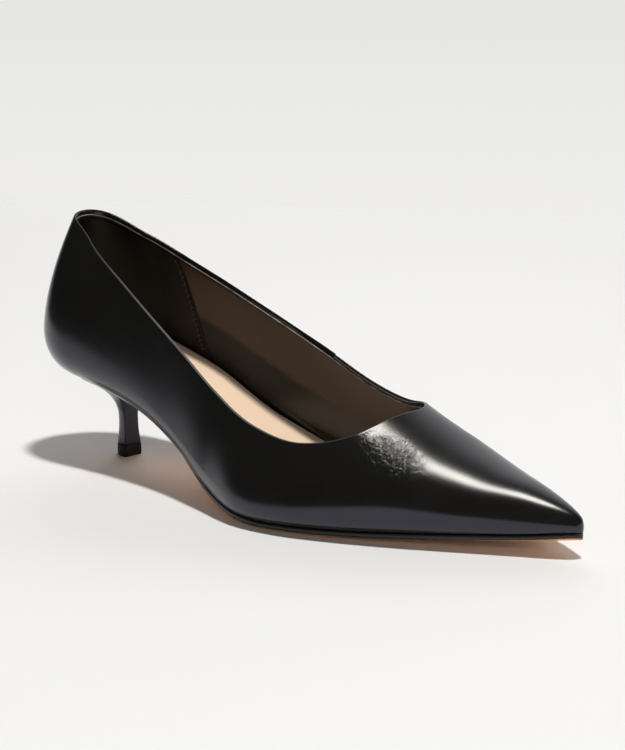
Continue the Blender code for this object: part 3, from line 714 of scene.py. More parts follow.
def outsole_mesh():
    """Thin outsole with a rounded edge; its underside carries the tan mask."""
    turn, x = plan_stations(26, 150)
    halves = {side: sole_lines(x, turn, side) for side in (OUT, IN)}
    seat = both_sides(halves[OUT][0], halves[IN][0])
    edge = both_sides(halves[OUT][1], halves[IN][1])
    middle = section("swing", np.maximum(seat[:, 0], HEEL_CENTRE))
    away = edge[:, :2] - np.stack([seat[:, 0], middle], -1)
    away /= np.maximum(np.linalg.norm(away, axis=1), 1e-6)[:, None]
    fade = np.minimum(1.0, np.abs(seat[:, 1] - middle) / 1.5)[:, None]

    def across(share, lower):
        """Ring at a share of the width under the seat."""
        y = middle + (seat[:, 1] - middle) * share
        z = sole_bottom_at(seat[:, 0], y) if lower else bottom_at(seat[:, 0], y) - GAP
        return np.stack([seat[:, 0], y, z], -1)

    def rim(inset, z):
        """Ring at the edge, drawn in by an inset."""
        plan = edge[:, :2] - away * inset * fade
        return np.concatenate([plan, z[:, None]], 1)

    z_top = edge[:, 2] - GAP - 0.12
    z_low = np.minimum(sole_bottom_at(seat[:, 0], seat[:, 1]) + 0.2, z_top - 1.0)
    rings = [across(share, True) for share in (0.0, 0.2, 0.4, 0.6, 0.8, 0.93)]
    tan_rings = len(rings) + 1
    rings += [rim(0.75, z_low), rim(0.25, z_low + 0.12), rim(0.05, z_low + 0.4)]
    rings += [rim(0.0, 0.5 * (z_low + z_top)), rim(0.05, z_top - 0.3), rim(0.3, z_top)]
    seat_ring = seat.copy()
    seat_ring[:, 2] -= GAP
    rings.append(seat_ring)
    rings += [across(share, False) for share in (0.93, 0.6, 0.3, 0.0)]
    bm = bmesh.new()
    mask = bm.verts.layers.float.new("underside")
    for number, ring in enumerate(loft(bm, rings)):
        for vert in ring:
            vert[mask] = 1.0 if number < tan_rings else 0.0
    bmesh.ops.remove_doubles(bm, verts=bm.verts[:], dist=WELD)
    face_out(bm)
    return bm


def sock_mesh(wrap, normals, depth, pad_step):
    """Cushioned insole with a rounded edge and the raised heel pad."""
    inside = inward(wrap.points, normals, np.full(wrap.points.shape[:2], depth))
    base = bottom(inside[:, 0, 0])
    height = base + section("sock_up", np.clip(inside[:, 0, 0], HEEL_CENTRE, TOE_TIP))

    def at_height(z):
        """Point of each column at a height."""
        made = np.empty((wrap.count, 3))
        for k in range(wrap.count):
            for axis in range(3):
                made[k, axis] = np.interp(z[k], inside[k, :, 2], inside[k, :, axis])
        made[:, 2] = z
        return made

    edge = at_height(height)
    mid = at_height(base + 0.5 * (height - base) + 0.6)
    low = at_height(base + 0.2 * (height - base) + 1.6)
    middle = section("swing", np.maximum(edge[:, 0], HEEL_CENTRE))
    away = edge[:, :2] - np.stack([np.clip(edge[:, 0], HEEL_CENTRE + 4.0, TOE_DRAW_X),
                                   section("swing", np.clip(edge[:, 0], HEEL_CENTRE, TOE_DRAW_X))], -1)
    away /= np.maximum(np.linalg.norm(away, axis=1), 1e-6)[:, None]

    def rim(ring, inset, drop):
        """Ring drawn in from the wall and lowered."""
        made = ring.copy()
        made[:, :2] -= away * inset
        made[:, 2] -= drop
        return made

    dish = section("sock_dish", np.clip(edge[:, 0], HEEL_CENTRE, TOE_TIP))

    def across(share):
        """Ring on top at a share of the width."""
        start = rim(edge, 1.0, 0.0)
        made = start.copy()
        made[:, 1] = middle + (start[:, 1] - middle) * share
        made[:, 2] = start[:, 2] - dish * (1.0 - share * share)
        bowed = made[:, 0] + PAD_CURVE * (made[:, 1] - middle) ** 2
        pad = 1.0 - ease(bowed, PAD_FRONT_X - PAD_EDGE, PAD_FRONT_X + PAD_EDGE)
        made[:, 2] += pad_step * pad
        return made

    def under(share):
        """Ring below at a share of the width."""
        start = rim(low, 2.0, 0.0)
        y = middle + (start[:, 1] - middle) * share
        z = bottom_at(start[:, 0], y) + WALL + GAP + 0.3
        return np.stack([start[:, 0], y, np.minimum(z, start[:, 2])], -1)

    rings = [under(share) for share in (0.0, 0.5, 0.95)]
    rings += [rim(low, 0.5, 0.0), rim(mid, 0.2, 0.0)]
    rings += [rim(edge, 0.12, 0.9), rim(edge, 0.2, 0.45), rim(edge, 0.45, 0.12)]
    rings += [across(share) for share in np.linspace(1.0, 0.0, 15)]
    bm = bmesh.new()
    loft(bm, rings)
    bmesh.ops.remove_doubles(bm, verts=bm.verts[:], dist=WELD)
    face_out(bm)
    return bm


def heel_ring(breast, back, half, grow):
    """Outline of the heel at one height: flat breast, rounded back."""
    turn = math.pi * np.arange(HEEL_STEPS + 1) / HEEL_STEPS
    depth = (breast - back + grow) * np.sin(turn) ** 0.9
    front = breast + grow * BREAST_GROW
    round_part = np.stack([front - depth, -(half + grow) * np.cos(turn)], -1)
    across = np.linspace(1.0, -1.0, 9)[1:-1]
    flat = np.stack([np.full(len(across), front), (half + grow) * across], -1)
    return np.concatenate([round_part, flat])


def close_end(bm, ring):
    """Close a ring with one face."""
    bmesh.ops.contextual_create(bm, geom=[bm.edges.get((a, b)) for a, b in zip(ring, ring[1:] + ring[:1])])


def finish_heel(bm, rings, stem, size):
    """Close both ends, and round the two upright edges of the breast along the stem's rings."""
    close_end(bm, rings[0])
    close_end(bm, rings[-1])
    face_out(bm)
    corners = []
    for low, high in zip(rings[:stem - 1], rings[1:stem]):
        corners += [bm.edges.get((low[0], high[0])), bm.edges.get((low[HEEL_STEPS], high[HEEL_STEPS]))]
    bmesh.ops.bevel(bm, geom=corners, offset=size, offset_type="OFFSET", segments=3, profile=0.5,
                    affect="EDGES", material=-1, clamp_overlap=True)
    face_out(bm)


def heel_mesh():
    """Heel stem with its flared seat."""
    shares = column(HEEL_ROWS, HEEL_COLUMNS, "share")
    sizes = {name: column(HEEL_ROWS, HEEL_COLUMNS, name) for name in ("breast", "back", "half")}
    seat = heel_ring(sizes["breast"][-1], sizes["back"][-1], sizes["half"][-1], 0.0)
    tops = sole_bottom_at(seat[:, 0], seat[:, 1]) - GAP
    foot = TIP_HEIGHT + GAP
    rings = []
    for share in np.concatenate([np.linspace(0.0, 0.5, 9)[:-1], np.linspace(0.5, 1.0, 26)]):
        here = [float(through(shares, sizes[name], share)) for name in ("breast", "back", "half")]
        plan = heel_ring(*here, 0.0)
        rings.append(np.concatenate([plan, (foot + (tops - foot) * share)[:, None]], 1))
    stem = len(rings)
    centre = 0.5 * (sizes["breast"][-1] + sizes["back"][-1])
    for share in (0.85, 0.6, 0.3):
        x = centre + (seat[:, 0] - centre) * share
        y = seat[:, 1] * share
        rings.append(np.stack([x, y, sole_bottom_at(x, y) - GAP - 0.05], -1))
    bm = bmesh.new()
    mark = bm.verts.layers.float.new("breast")
    made = loft(bm, rings)
    for ring in made:
        for vert in ring[HEEL_STEPS + 1:]:
            vert[mark] = 1.0
    finish_heel(bm, made, stem, HEEL_ROUND)
    return bm


def tip_mesh():
    """Wearing piece under the heel, a little wider than the stem."""
    row = dict(zip(HEEL_COLUMNS, HEEL_ROWS[0]))
    rings = []
    for z, grow in ((0.0, TIP_STEP - 0.2), (0.25, TIP_STEP - 0.05), (0.6, TIP_STEP), (2.4, TIP_STEP),
                    (TIP_HEIGHT - 0.6, TIP_STEP), (TIP_HEIGHT - 0.25, TIP_STEP - 0.05),
                    (TIP_HEIGHT, TIP_STEP - 0.25)):
        plan = heel_ring(row["breast"], row["back"], row["half"], grow)
        rings.append(np.concatenate([plan, np.full((len(plan), 1), z)], 1))
    bm = bmesh.new()
    finish_heel(bm, loft(bm, rings), len(rings), TIP_ROUND)
    return bm


def grip_front(up):
    """Position of the heel grip's front edge at a share of its height."""
    return GRIP_FRONT - GRIP_LEAN * up


def grip_surface(along, up, drop):
    """Points of the outside behind the heel grip; along runs from -1 outside to 1 inside."""
    along, up = np.broadcast_arrays(np.asarray(along, float), np.asarray(up, float))
    made = np.empty(along.shape + (3,))
    for side in (OUT, IN):
        mine = along * side >= 0.0
        a = np.abs(along[mine])
        u = up[mine]
        round_part = a <= GRIP_ROUND
        turn = math.pi / 2 * (1.0 - np.minimum(a / GRIP_ROUND, 1.0))
        ahead = np.maximum(a - GRIP_ROUND, 0.0) / (1.0 - GRIP_ROUND)
        x = HEEL_CENTRE + (grip_front(u) - HEEL_CENTRE) * ahead
        level = 0.7 + 0.3 * np.minimum(u / GRIP_ROLL, 1.0)
        wall = np.maximum(u - GRIP_ROLL, 0.0) / (1.0 - GRIP_ROLL)
        top = heel_top(turn, side, drop)
        heel = heel_points(turn, np.where(u < GRIP_ROLL, level, 1.0 + (top - 1.0) * wall), side)
        share = topline_share(x, drop)
        top = top_level(x, side, topline_z(share, side, drop))
        quarter = wall_points(x, side, np.where(u < GRIP_ROLL, level, 1.0 + (top - 1.0) * wall))
        made[mine] = np.where(round_part[:, None], heel, quarter)
    return made


def surface_normals(points):
    """Normals of a grid of points that face away from the heel's middle."""
    run = np.gradient(points, axis=0)
    rise = np.gradient(points, axis=1)
    normals = np.cross(run, rise)
    normals /= np.maximum(np.linalg.norm(normals, axis=2), 1e-9)[..., None]
    away = points - GRIP_MIDDLE
    return -normals if np.sum(normals * away, 2).mean() < 0.0 else normals


def grip_mesh(depth, thickness, drop):
    """Sheet of the heel grip on the lining."""
    along = np.linspace(-1.0, 1.0, GRIP_COLUMNS + 1)[:, None]
    up = np.linspace(0.0, 1.0, GRIP_ROWS + 1)[None, :]
    points = grip_surface(along, up, drop)
    points = points - surface_normals(points) * depth
    bm = bmesh.new()
    bmesh.ops.create_grid(bm, x_segments=GRIP_COLUMNS, y_segments=GRIP_ROWS, size=1.0)
    for vert in bm.verts:
        i = round((vert.co.x + 1.0) / 2.0 * GRIP_COLUMNS)
        j = round((vert.co.y + 1.0) / 2.0 * GRIP_ROWS)
        vert.co = points[i, j]
    bm.normal_update()
    bm.faces.ensure_lookup_table()
    face = bm.faces[len(bm.faces) // 2]
    centre = face.calc_center_median()
    inwards = Vector((GRIP_MIDDLE[0], GRIP_MIDDLE[1], centre.z)) - centre
    if face.normal.dot(inwards) < 0.0:
        bmesh.ops.reverse_faces(bm, faces=bm.faces[:])
    bm.normal_update()
    bmesh.ops.solidify(bm, geom=bm.faces[:], thickness=thickness)
    face_out(bm)
    return bm


def stitch_mesh(depth, drop, pitch, radius):
    """Zigzag row of stitches along both front edges of the heel grip."""
    bm = bmesh.new()
    for side in (OUT, IN):
        count = int(STITCH_ROW / pitch)
        ends = []
        for i in range(count + 1):
            up = STITCH_START + STITCH_SPAN * i / count
            inset = STITCH_INSETS[i % 2]
            along = side * np.array([1.0 - inset - 0.01, 1.0 - inset, 1.0 - inset + 0.01])
            patch = grip_surface(along[:, None], np.array([up - 0.01, up, up + 0.01])[None, :], drop)
            normal = surface_normals(patch)[1, 1]
            ends.append(patch[1, 1] - normal * depth)
        for a, b in zip(ends[:-1], ends[1:]):
            run = Vector(b) - Vector(a)
            made = bmesh.ops.create_cone(bm, cap_ends=True, cap_tris=True, segments=6, radius1=radius,
                                         radius2=radius, depth=run.length * STITCH_FILL)["verts"]
            bmesh.ops.rotate(bm, verts=made, cent=(0.0, 0.0, 0.0),
                             matrix=run.to_track_quat("Z", "Y").to_matrix())
            bmesh.ops.translate(bm, verts=made, vec=(Vector(a) + Vector(b)) / 2.0)
    face_out(bm)
    return bm


class Tree:
    """Node tree under construction, with short ways to add its nodes."""

    def __init__(self, tree):
        self.nodes = tree.nodes
        self.links = tree.links

    def join(self, value, socket):
        """Link an output to an input, or set the input to a plain value."""
        if isinstance(value, bpy.types.NodeSocket):
            self.links.new(value, socket)
        else:
            socket.default_value = value

    def node(self, kind, traits=None, **inputs):
        """Add a node with its traits, and join its inputs by name."""
        made = self.nodes.new("ShaderNode" + kind)
        for name, value in (traits or {}).items():
            setattr(made, name, value)
        for name, value in inputs.items():
            self.join(value, made.inputs[name.replace("_", " ")])
        return made

    def math(self, operation, a, b, kind="Math", result="Value"):
        """Math node on two sockets, numbers or vectors."""
        made = self.node(kind, {"operation": operation})
        self.join(a, made.inputs[0])
        self.join(b, made.inputs[1])
        return made.outputs[result]

    def ramp(self, value, start, end, low, high, shape="LINEAR"):
        """Map a value from the range start to end to the range low to high."""
        made = self.node("MapRange", {"interpolation_type": shape}, Value=value, From_Min=start, From_Max=end,
                         To_Min=low, To_Max=high)
        return made.outputs["Result"]

    def spread(self, value, low, high):
        """Map a 0 to 1 value to a range."""
        return self.ramp(value, 0.0, 1.0, low, high)

    def step(self, value, start, end):
        """Soft step from 0 at start to 1 at end."""
        return self.ramp(value, start, end, 0.0, 1.0, "SMOOTHSTEP")

    def mix(self, share, a, b, kind="RGBA"):
        """Blend of two colours, numbers or vectors by a share."""
        return self.node("Mix", {"data_type": kind}, Factor=share, A=a, B=b).outputs["Result"]


def new_group(name, inputs, outputs):
    """Empty node group with its sockets; gives the group, its tree and its start and end sockets."""
    group = bpy.data.node_groups.new(name, "ShaderNodeTree")
    for title, kind in inputs.items():
        group.interface.new_socket(title, in_out="INPUT", socket_type=kind)
    for title in outputs:
        group.interface.new_socket(title, in_out="OUTPUT", socket_type=NUMBER)
    tree = Tree(group)
    start = tree.nodes.new("NodeGroupInput")
    end = tree.nodes.new("NodeGroupOutput")
    return group, tree, start.outputs, end.inputs


def grain_group():
    """Fine leather grain: a height and a slow tone, both between 0 and 1."""
    name = "leather_grain"
    if name in bpy.data.node_groups:
        return bpy.data.node_groups[name]
    group, tree, start, end = new_group(name, {"Scale": NUMBER, "Tone Scale": NUMBER}, ("Height", "Tone"))
    place = tree.node("TexCoord").outputs["Object"]
    pores = tree.node("TexVoronoi", {"feature": "SMOOTH_F1"}, Vector=place, Scale=start["Scale"],
                      Smoothness=0.6)
    fine = tree.node("TexNoise", Vector=place, Scale=start["Scale"], Detail=3.0)
    slow = tree.node("TexNoise", Vector=place, Scale=start["Tone Scale"], Detail=2.0)
    tree.join(tree.mix(0.45, pores.outputs["Distance"], fine.outputs["Fac"], "FLOAT"), end["Height"])
    tree.join(slow.outputs["Fac"], end["Tone"])
    return group


def patch_group():
    """Soft mask round a point of the shoe, 1 inside and 0 outside its radii."""
    name = "soft_patch"
    if name in bpy.data.node_groups:
        return bpy.data.node_groups[name]
    group, tree, start, end = new_group(name, {"Middle": VECTOR, "Radii": VECTOR}, ("Mask",))
    place = tree.node("TexCoord").outputs["Object"]
    off = tree.math("SUBTRACT", place, start["Middle"], "VectorMath", "Vector")
    share = tree.math("DIVIDE", off, start["Radii"], "VectorMath", "Vector")
    far = tree.node("VectorMath", {"operation": "LENGTH"}, Vector=share).outputs["Value"]
    tree.join(tree.step(far, *PATCH_EDGE), end["Mask"])
    return group


def wrinkle_group():
    """Fine wrinkles, finer along X than up, as a height between 0 and 1."""
    name = "fine_wrinkles"
    if name in bpy.data.node_groups:
        return bpy.data.node_groups[name]
    group, tree, start, end = new_group(name, {"Scale": NUMBER, "Lean": VECTOR}, ("Height",))
    place = tree.node("TexCoord").outputs["Object"]
    turned = tree.node("Mapping", Vector=place, Rotation=start["Lean"], Scale=WRINKLE_STRETCH)
    bend = tree.node("TexNoise", Vector=place, Scale=260.0, Detail=2.0)
    bent = tree.mix(0.003, turned.outputs["Vector"], bend.outputs["Color"], "VECTOR")
    folds = tree.node("TexNoise", Vector=bent, Scale=start["Scale"], Detail=2.0)
    tree.join(folds.outputs["Fac"], end["Height"])
    return group


def scaled(colour, share):
    """Colour made darker or lighter by a share."""
    return tuple(min(1.0, part * share) for part in colour)


def shoe_place(x, y, z):
    """Point of the last in the part's frame, in metres."""
    return tuple((np.array([x, y, z]) - SHIFT) * MM)


class Look(Tree):
    """One material under construction."""

    def __init__(self, name, colour, roughness, specular=0.5, tint=(1.0, 1.0, 1.0)):
        self.made = bpy.data.materials.new(name)
        self.made.use_nodes = True
        super().__init__(self.made.node_tree)
        self.shader = self.nodes["Principled BSDF"]
        self.feed((*colour, 1.0), "Base Color")
        self.feed(roughness, "Roughness")
        self.feed(specular, "Specular IOR Level")
        self.feed((*tint, 1.0), "Specular Tint")

    def feed(self, value, socket):
        """Feed a value or colour into a socket of the shader."""
        self.join(value, self.shader.inputs[socket])

    def group(self, tree, **values):
        """Place a node group with its own values; gives its outputs."""
        return self.node("Group", {"node_tree": tree}, **values).outputs

    def grain(self, scale, tone_scale):
        """Height and tone of the leather grain."""
        return self.group(grain_group(), Scale=scale, Tone_Scale=tone_scale)

    def patch(self, place):
        """Mask of a place on the last, from its middle and radii in millimetres."""
        middle, radii = place
        radii = tuple(radius * MM for radius in radii)
        return self.group(patch_group(), Middle=shoe_place(*middle), Radii=radii)["Mask"]

    def attribute(self, name):
        """Value of a vertex attribute."""
        return self.node("Attribute", {"attribute_name": name}).outputs["Fac"]

    def shade(self, value, colour, dark, light):
        """Colour between a darker and a lighter shade of itself by a value."""
        return self.mix(value, (*scaled(colour, dark), 1.0), (*scaled(colour, light), 1.0))

    def bump(self, height, distance):
        """Feed a height into the normal."""
        made = self.node("Bump", Height=height, Distance=distance, Strength=1.0)
        self.feed(made.outputs["Normal"], "Normal")

    def grained(self, colour, grain, tones, bump, polish=None):
        """Finish of a plain grained cover: its bump, its tones and its uneven polish; gives the tone."""
        made = self.grain(*grain)
        self.bump(made["Height"], bump)
        self.feed(self.shade(made["Tone"], colour, *tones), "Base Color")
        if polish:
            self.feed(self.spread(made["Tone"], *polish), "Roughness")
        return made["Tone"]


def leather_look(colour):
    """Black smooth leather: polished walls, a softer sheen on the vamp, finely wrinkled beside the throat,
    with a painted highlight on the near side of the topline's fold.
    """
    look = Look("black_leather", colour, 0.2, specular=0.72, tint=LEATHER_TINT)
    grain = look.grain(1700.0, 70.0)
    inner = look.math("MULTIPLY", look.patch(INNER_WRINKLES), 0.6)
    patch = look.math("MAXIMUM", look.patch(OUTER_WRINKLES), inner)
    wrinkles = look.group(wrinkle_group(), Scale=1750.0, Lean=(0.0, 0.25, 0.5))["Height"]
    fold = look.math("MULTIPLY", look.spread(wrinkles, -WRINKLE, WRINKLE), patch)
    look.bump(look.math("ADD", look.math("MULTIPLY", grain["Height"], 0.03), fold), 0.00011)
    # painted highlight: the topline's fold is lightened on the near side only
    painted_highlight = look.math("MULTIPLY", look.attribute("rim"), look.patch(NEAR_TOPLINE_HIGHLIGHT))
    tone = look.shade(grain["Tone"], colour, 0.75, 1.3)
    look.feed(look.mix(painted_highlight, tone, (*TOPLINE_HIGHLIGHT_COLOUR, 1.0)), "Base Color")
    soft = look.math("MULTIPLY", look.patch(VAMP_TOP), VAMP_SOFT)
    look.feed(look.math("ADD", look.spread(grain["Tone"], 0.14, 0.19), soft), "Roughness")
    return look.made


def lining_look(colour):
    """Dark brown lining: polished in its upper part, wrinkled below and turned black there by painted shade;
    its cut edge pale and lightened in broken spots as painted highlight.
    """
    look = Look("lining_leather", colour, 0.4, specular=0.2)
    look.feed(0.17, "Coat Roughness")
    grain = look.grain(1200.0, 45.0)
    breaks = look.grain(1200.0, 260.0)
    wrinkles = look.group(wrinkle_group(), Scale=700.0, Lean=(0.0, 0.2, 0.0))["Height"]
    rise = look.attribute("rise_share")
    uneven = look.math("ADD", rise, look.spread(grain["Tone"], -0.06, 0.06))
    upper = look.step(uneven, 0.38, 0.48)
    fold = look.math("MULTIPLY", wrinkles, look.step(rise, 0.30, 0.05))
    look.bump(look.math("ADD", look.math("MULTIPLY", grain["Height"], 0.05), fold), 0.00028)
    # pale raw cut edge of the lining, lightened in broken spots as painted highlight
    edge = look.math("MULTIPLY", look.attribute("rim"), look.spread(breaks["Tone"], -0.5, 1.9))
    # painted shade: below a soft, uneven line low on the wall the lining is turned near black
    tone = look.mix(upper, (*LINING_PAINTED_SHADE, 1.0), (*colour, 1.0))
    look.feed(look.mix(edge, tone, (*CUT_EDGE_AND_HIGHLIGHT, 1.0)), "Base Color")
    look.feed(look.spread(grain["Tone"], 0.34, 0.46), "Roughness")
    rubbed = look.math("MULTIPLY", look.patch(LINING_GLEAM), LINING_LOW_SHINE)
    look.feed(look.math("MAXIMUM", look.math("MULTIPLY", upper, LINING_SHINE), rubbed), "Coat Weight")
    return look.made


def grip_look(colour):
    """Near black heel grip with a short nap."""
    look = Look("grip_suede", colour, 0.5, specular=0.25)
    look.grained(colour, grain=(2600.0, 120.0), tones=(0.6, 1.6), bump=0.00006, polish=(0.42, 0.6))
    return look.made


def thread_look(colour):
    """Dark brown sewing thread."""
    look = Look("grip_thread", colour, 0.6)
    look.grained(colour, grain=(5200.0, 500.0), tones=(0.6, 1.5), bump=0.00005)
    return look.made


def sock_look(colour):
    """Matt beige sock with fine pores."""
    look = Look("beige_sock", colour, 0.55, specular=0.35)
    look.grained(colour, grain=(1500.0, 38.0), tones=(0.93, 1.05), bump=0.00007, polish=(0.48, 0.62))
    return look.made


def sole_look(colour):
    """Tan sole sheet with a black painted edge."""
    look = Look("sole_sheet", colour, 0.5)
    grain = look.grain(900.0, 55.0)
    below = look.math("GREATER_THAN", look.attribute("underside"), 0.5)
    tan = look.shade(grain["Tone"], colour, 0.8, 1.15)
    look.feed(look.mix(below, (*SOLE_EDGE, 1.0), tan), "Base Color")
    dull = look.math("MULTIPLY", below, 0.15)
    look.feed(look.math("ADD", look.spread(grain["Tone"], 0.30, 0.40), dull), "Roughness")
    look.bump(grain["Height"], 0.00006)
    return look.made


def heel_look(colour):
    """Black leather stretched over the heel, duller on its breast."""
    look = Look("heel_leather", colour, 0.25, specular=0.8, tint=LEATHER_TINT)
    tone = look.grained(colour, grain=(1900.0, 110.0), tones=(0.75, 1.3), bump=0.00001)
    dull = look.math("MULTIPLY", look.attribute("breast"), BREAST_DULL)
    look.feed(look.math("ADD", look.spread(tone, 0.22, 0.28), dull), "Roughness")
    return look.made


def tip_look(colour):
    """Black wearing piece with a dull moulded surface."""
    look = Look("tip_rubber_black", colour, 0.5, specular=0.2)
    look.grained(colour, grain=(2400.0, 160.0), tones=(0.8, 1.4), bump=0.00004, polish=(0.42, 0.6))
    return look.made


def floor_look(colour):
    """Pale floor that fades into the backdrop away from the shoe."""
    look = Look("pale_floor", colour, 0.75, specular=0.2)
    tone = look.grain(300.0, 3.0)["Tone"]
    look.feed(look.shade(tone, colour, 0.985, 1.01), "Base Color")
    look.feed(look.spread(tone, 0.70, 0.80), "Roughness")
    look.feed(look.group(patch_group(), Middle=FLOOR_MIDDLE, Radii=FLOOR_FADE)["Mask"], "Alpha")
    return look.made


def set_world(backdrop):
    """Pale all round to the eye; to the shoe bright behind it and dark in front."""
    world = bpy.data.worlds.new("studio")
    bpy.context.scene.world = world
    world.use_nodes = True
    tree = Tree(world.node_tree)
    way = tree.node("TexCoord").outputs["Generated"]
    up = tree.node("SeparateXYZ", Vector=way).outputs["Z"]
    behind = tree.math("DOT_PRODUCT", way, BRIGHT_SIDE, "VectorMath")
    wall = tree.ramp(behind, *WALL_GLOW, "SMOOTHSTEP")
    above = tree.ramp(up, *ABOVE_GLOW, "SMOOTHSTEP")
    ground = tree.ramp(behind, *GROUND_GLOW)
    below = tree.math("LESS_THAN", up, 0.0)
    light = tree.nodes["Background"]
    light.inputs["Color"].default_value = (*STUDIO_COLOUR, 1.0)
    tree.join(tree.mix(below, tree.math("MULTIPLY", wall, above), ground, "FLOAT"), light.inputs["Strength"])
    seen = tree.node("Background", Color=(*backdrop, 1.0), Strength=tree.ramp(up, *BACKDROP_FADE))
    mix = tree.node("MixShader", Fac=tree.node("LightPath").outputs["Is Camera Ray"])
    tree.join(light.outputs["Background"], mix.inputs[1])
    tree.join(seen.outputs["Background"], mix.inputs[2])
    tree.join(mix.outputs["Shader"], tree.nodes["World Output"].inputs["Surface"])


def add_lamp(name, shape, place, size, power):
    """Area light that shines on the shoe."""
    data = bpy.data.lights.new(name, "AREA")
    data.shape = shape
    data.size = size
    data.energy = power
    lamp = bpy.data.objects.new(name, data)
    lamp.location = place
    lamp.rotation_euler = (-Vector(place)).to_track_quat("-Z", "Y").to_euler()
    bpy.context.scene.collection.objects.link(lamp)
    return lamp


class SHOE_OT_upper(bpy.types.Operator):
    """Build the outer leather with its folded topline, side seam and soft creases"""

    bl_idname = "shoe.upper"
    bl_label = "Upper leather"

    def execute(self, context):
        sizes = context.scene.shoe_sizes
        thick = sizes.leather / MM
        seam = np.arange(-10.0, 7.0, 0.4) + SIDE_SEAM_X + 3.0
        wrap = Wrap(0.45 * thick, (44, 120, 90), 12, sizes.wall_rows, seam)
        normals = wrap_normals(wrap)
        outer = seams_and_creases(wrap, normals)
        bm = shell(wrap, normals, outer, 0.0, thick, wrap.edge)
        look = leather_look(context.scene.shoe_finish.leather)
        add_piece("upper_leather_shell", bm, look, "upper")
        return {"FINISHED"}


class SHOE_OT_lining(bpy.types.Operator):
    """Build the lining with its cut edge under the topline"""

    bl_idname = "shoe.lining"
    bl_label = "Lining"

    def execute(self, context):
        sizes = context.scene.shoe_sizes
        start = sizes.leather / MM + 0.05
        wrap = Wrap(sizes.lining_drop / MM, (36, 100, 60), 10, 30)
        normals = wrap_normals(wrap)
        bm = shell(wrap, normals, wrap.points, start, start + sizes.lining / MM)
        share = bm.verts.layers.float.new("rise_share")
        for vert, value in zip(bm.verts, rise_shares(np.array([vert.co[:] for vert in bm.verts]))):
            vert[share] = value
        add_piece("lining_shell", bm, lining_look(context.scene.shoe_finish.lining), "upper")
        return {"FINISHED"}


class SHOE_OT_heel_grip(bpy.types.Operator):
    """Build the heel grip and the zigzag stitches of its front edge"""

    bl_idname = "shoe.heel_grip"
    bl_label = "Heel grip"

    def execute(self, context):
        sizes = context.scene.shoe_sizes
        finish = context.scene.shoe_finish
        depth = (sizes.leather + sizes.lining) / MM + 0.1
        drop = sizes.lining_drop / MM + 0.7
        thick = sizes.grip / MM
        bm = grip_mesh(depth, thick, drop)
        add_piece("heel_grip", bm, grip_look(finish.grip), "upper")
        bm = stitch_mesh(depth + thick, drop, sizes.stitch_pitch / MM, sizes.thread / MM)
        add_piece("heel_grip_stitches", bm, thread_look(finish.thread), "upper")
        return {"FINISHED"}


class SHOE_OT_insole(bpy.types.Operator):
    """Build the cushioned insole with its beige sock"""

    bl_idname = "shoe.insole"
    bl_label = "Insole"

    def execute(self, context):
        sizes = context.scene.shoe_sizes
        wrap = Wrap(2.0, (30, 90, 50), 14, 40)
        normals = wrap_normals(wrap)
        depth = (sizes.leather + sizes.lining) / MM + 0.15
        bm = sock_mesh(wrap, normals, depth, sizes.pad_step / MM)
        look = sock_look(context.scene.shoe_finish.sock)
        piece = add_piece("insole_sock", bm, look, "insole")
        return {"FINISHED"}


class SHOE_OT_outsole(bpy.types.Operator):
    """Build the thin outsole with its black edge"""

    bl_idname = "shoe.outsole"
    bl_label = "Outsole"

    def execute(self, context):
        look = sole_look(context.scene.shoe_finish.sole)
        add_piece("outsole_plate", outsole_mesh(), look, "outsole")
        return {"FINISHED"}


class SHOE_OT_heel(bpy.types.Operator):
    """Build the slim heel and its wearing piece"""

    bl_idname = "shoe.heel"
    bl_label = "Heel"

    def execute(self, context):
        finish = context.scene.shoe_finish
        add_piece("heel_stem", heel_mesh(), heel_look(finish.leather), "heel")
        add_piece("heel_wearing_piece", tip_mesh(), tip_look(finish.tip), "heel_tip")
        return {"FINISHED"}


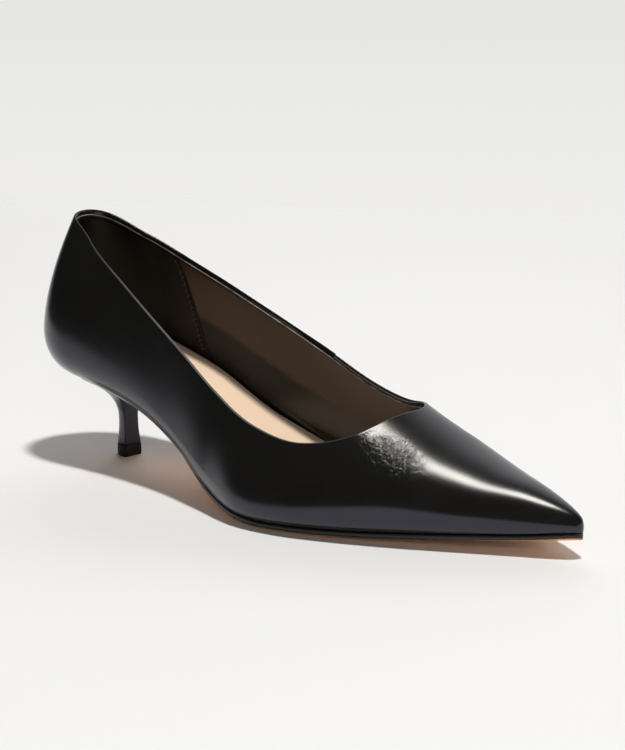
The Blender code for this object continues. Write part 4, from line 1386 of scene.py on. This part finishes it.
class SHOE_OT_stage(bpy.types.Operator):
    """Set the pale floor, the lights and the camera"""

    bl_idname = "shoe.stage"
    bl_label = "Stage"

    def execute(self, context):
        scene = context.scene
        stage = scene.shoe_stage
        bm = bmesh.new()
        bmesh.ops.create_circle(bm, cap_ends=True, segments=96, radius=FLOOR_RADIUS)
        mesh = bpy.data.meshes.new("floor")
        bm.to_mesh(mesh)
        bm.free()
        mesh.materials.append(floor_look(stage.floor))
        floor = bpy.data.objects.new("floor", mesh)
        scene.collection.objects.link(floor)
        set_world(stage.backdrop)
        key = add_lamp("key_light", "DISK", stage.key_place, stage.key_size, stage.key_power)
        key.data.color = KEY_COLOUR
        over = (0.0, 0.0, stage.fill_height)
        fill = add_lamp("fill_light", "SQUARE", over, stage.fill_size, stage.fill_power)
        front = add_lamp("front_fill", "SQUARE", FRONT_PLACE, stage.fill_size / 2, stage.front_power)
        rear = add_lamp("rear_fill", "SQUARE", REAR_PLACE, stage.fill_size, stage.rear_power)
        sheen = add_lamp("sheen_light", "DISK", SHEEN_PLACE, stage.sheen_size, stage.sheen_power)
        sheen.data.color = SHEEN_COLOUR
        sheen.visible_diffuse = False
        for lamp in (key, fill, front, rear):
            lamp.visible_glossy = False
        lens = bpy.data.cameras.new("camera")
        lens.sensor_fit = "AUTO"
        lens.sensor_width = 36.0
        lens.lens = stage.lens
        lens.clip_start = 0.02
        camera = bpy.data.objects.new("camera", lens)
        camera.location = stage.camera_place
        camera.rotation_euler = Vector(stage.camera_aim).to_track_quat("-Z", "Y").to_euler()
        scene.collection.objects.link(camera)
        scene.camera = camera
        scene.view_settings.view_transform = "Standard"
        return {"FINISHED"}


class SHOE_PT_panel(bpy.types.Panel):
    """Steps that build the shoe"""

    bl_idname = "SHOE_PT_panel"
    bl_label = "Court shoe"
    bl_space_type = "VIEW_3D"
    bl_region_type = "UI"
    bl_category = "Shoe"

    def draw(self, context):
        for step in STEPS:
            self.layout.operator(step.bl_idname)


GROUPS = (ShoeSizes, ShoeFinish, ShoeStage)
STEPS = (SHOE_OT_upper, SHOE_OT_lining, SHOE_OT_heel_grip, SHOE_OT_insole, SHOE_OT_outsole, SHOE_OT_heel,
         SHOE_OT_stage)


def register():
    """Register the property groups, the steps and the panel."""
    for item in GROUPS + STEPS + (SHOE_PT_panel,):
        bpy.utils.register_class(item)
    bpy.types.Scene.shoe_sizes = PointerProperty(type=ShoeSizes)
    bpy.types.Scene.shoe_finish = PointerProperty(type=ShoeFinish)
    bpy.types.Scene.shoe_stage = PointerProperty(type=ShoeStage)


def unregister():
    """Take the property groups, the steps and the panel out again."""
    del bpy.types.Scene.shoe_stage
    del bpy.types.Scene.shoe_finish
    del bpy.types.Scene.shoe_sizes
    for item in reversed(GROUPS + STEPS + (SHOE_PT_panel,)):
        bpy.utils.unregister_class(item)


def main():
    """Build every piece in order."""
    register()
    bpy.ops.shoe.upper()
    bpy.ops.shoe.lining()
    bpy.ops.shoe.heel_grip()
    bpy.ops.shoe.insole()
    bpy.ops.shoe.outsole()
    bpy.ops.shoe.heel()
    bpy.ops.shoe.stage()


if __name__ == "__main__":
    main()
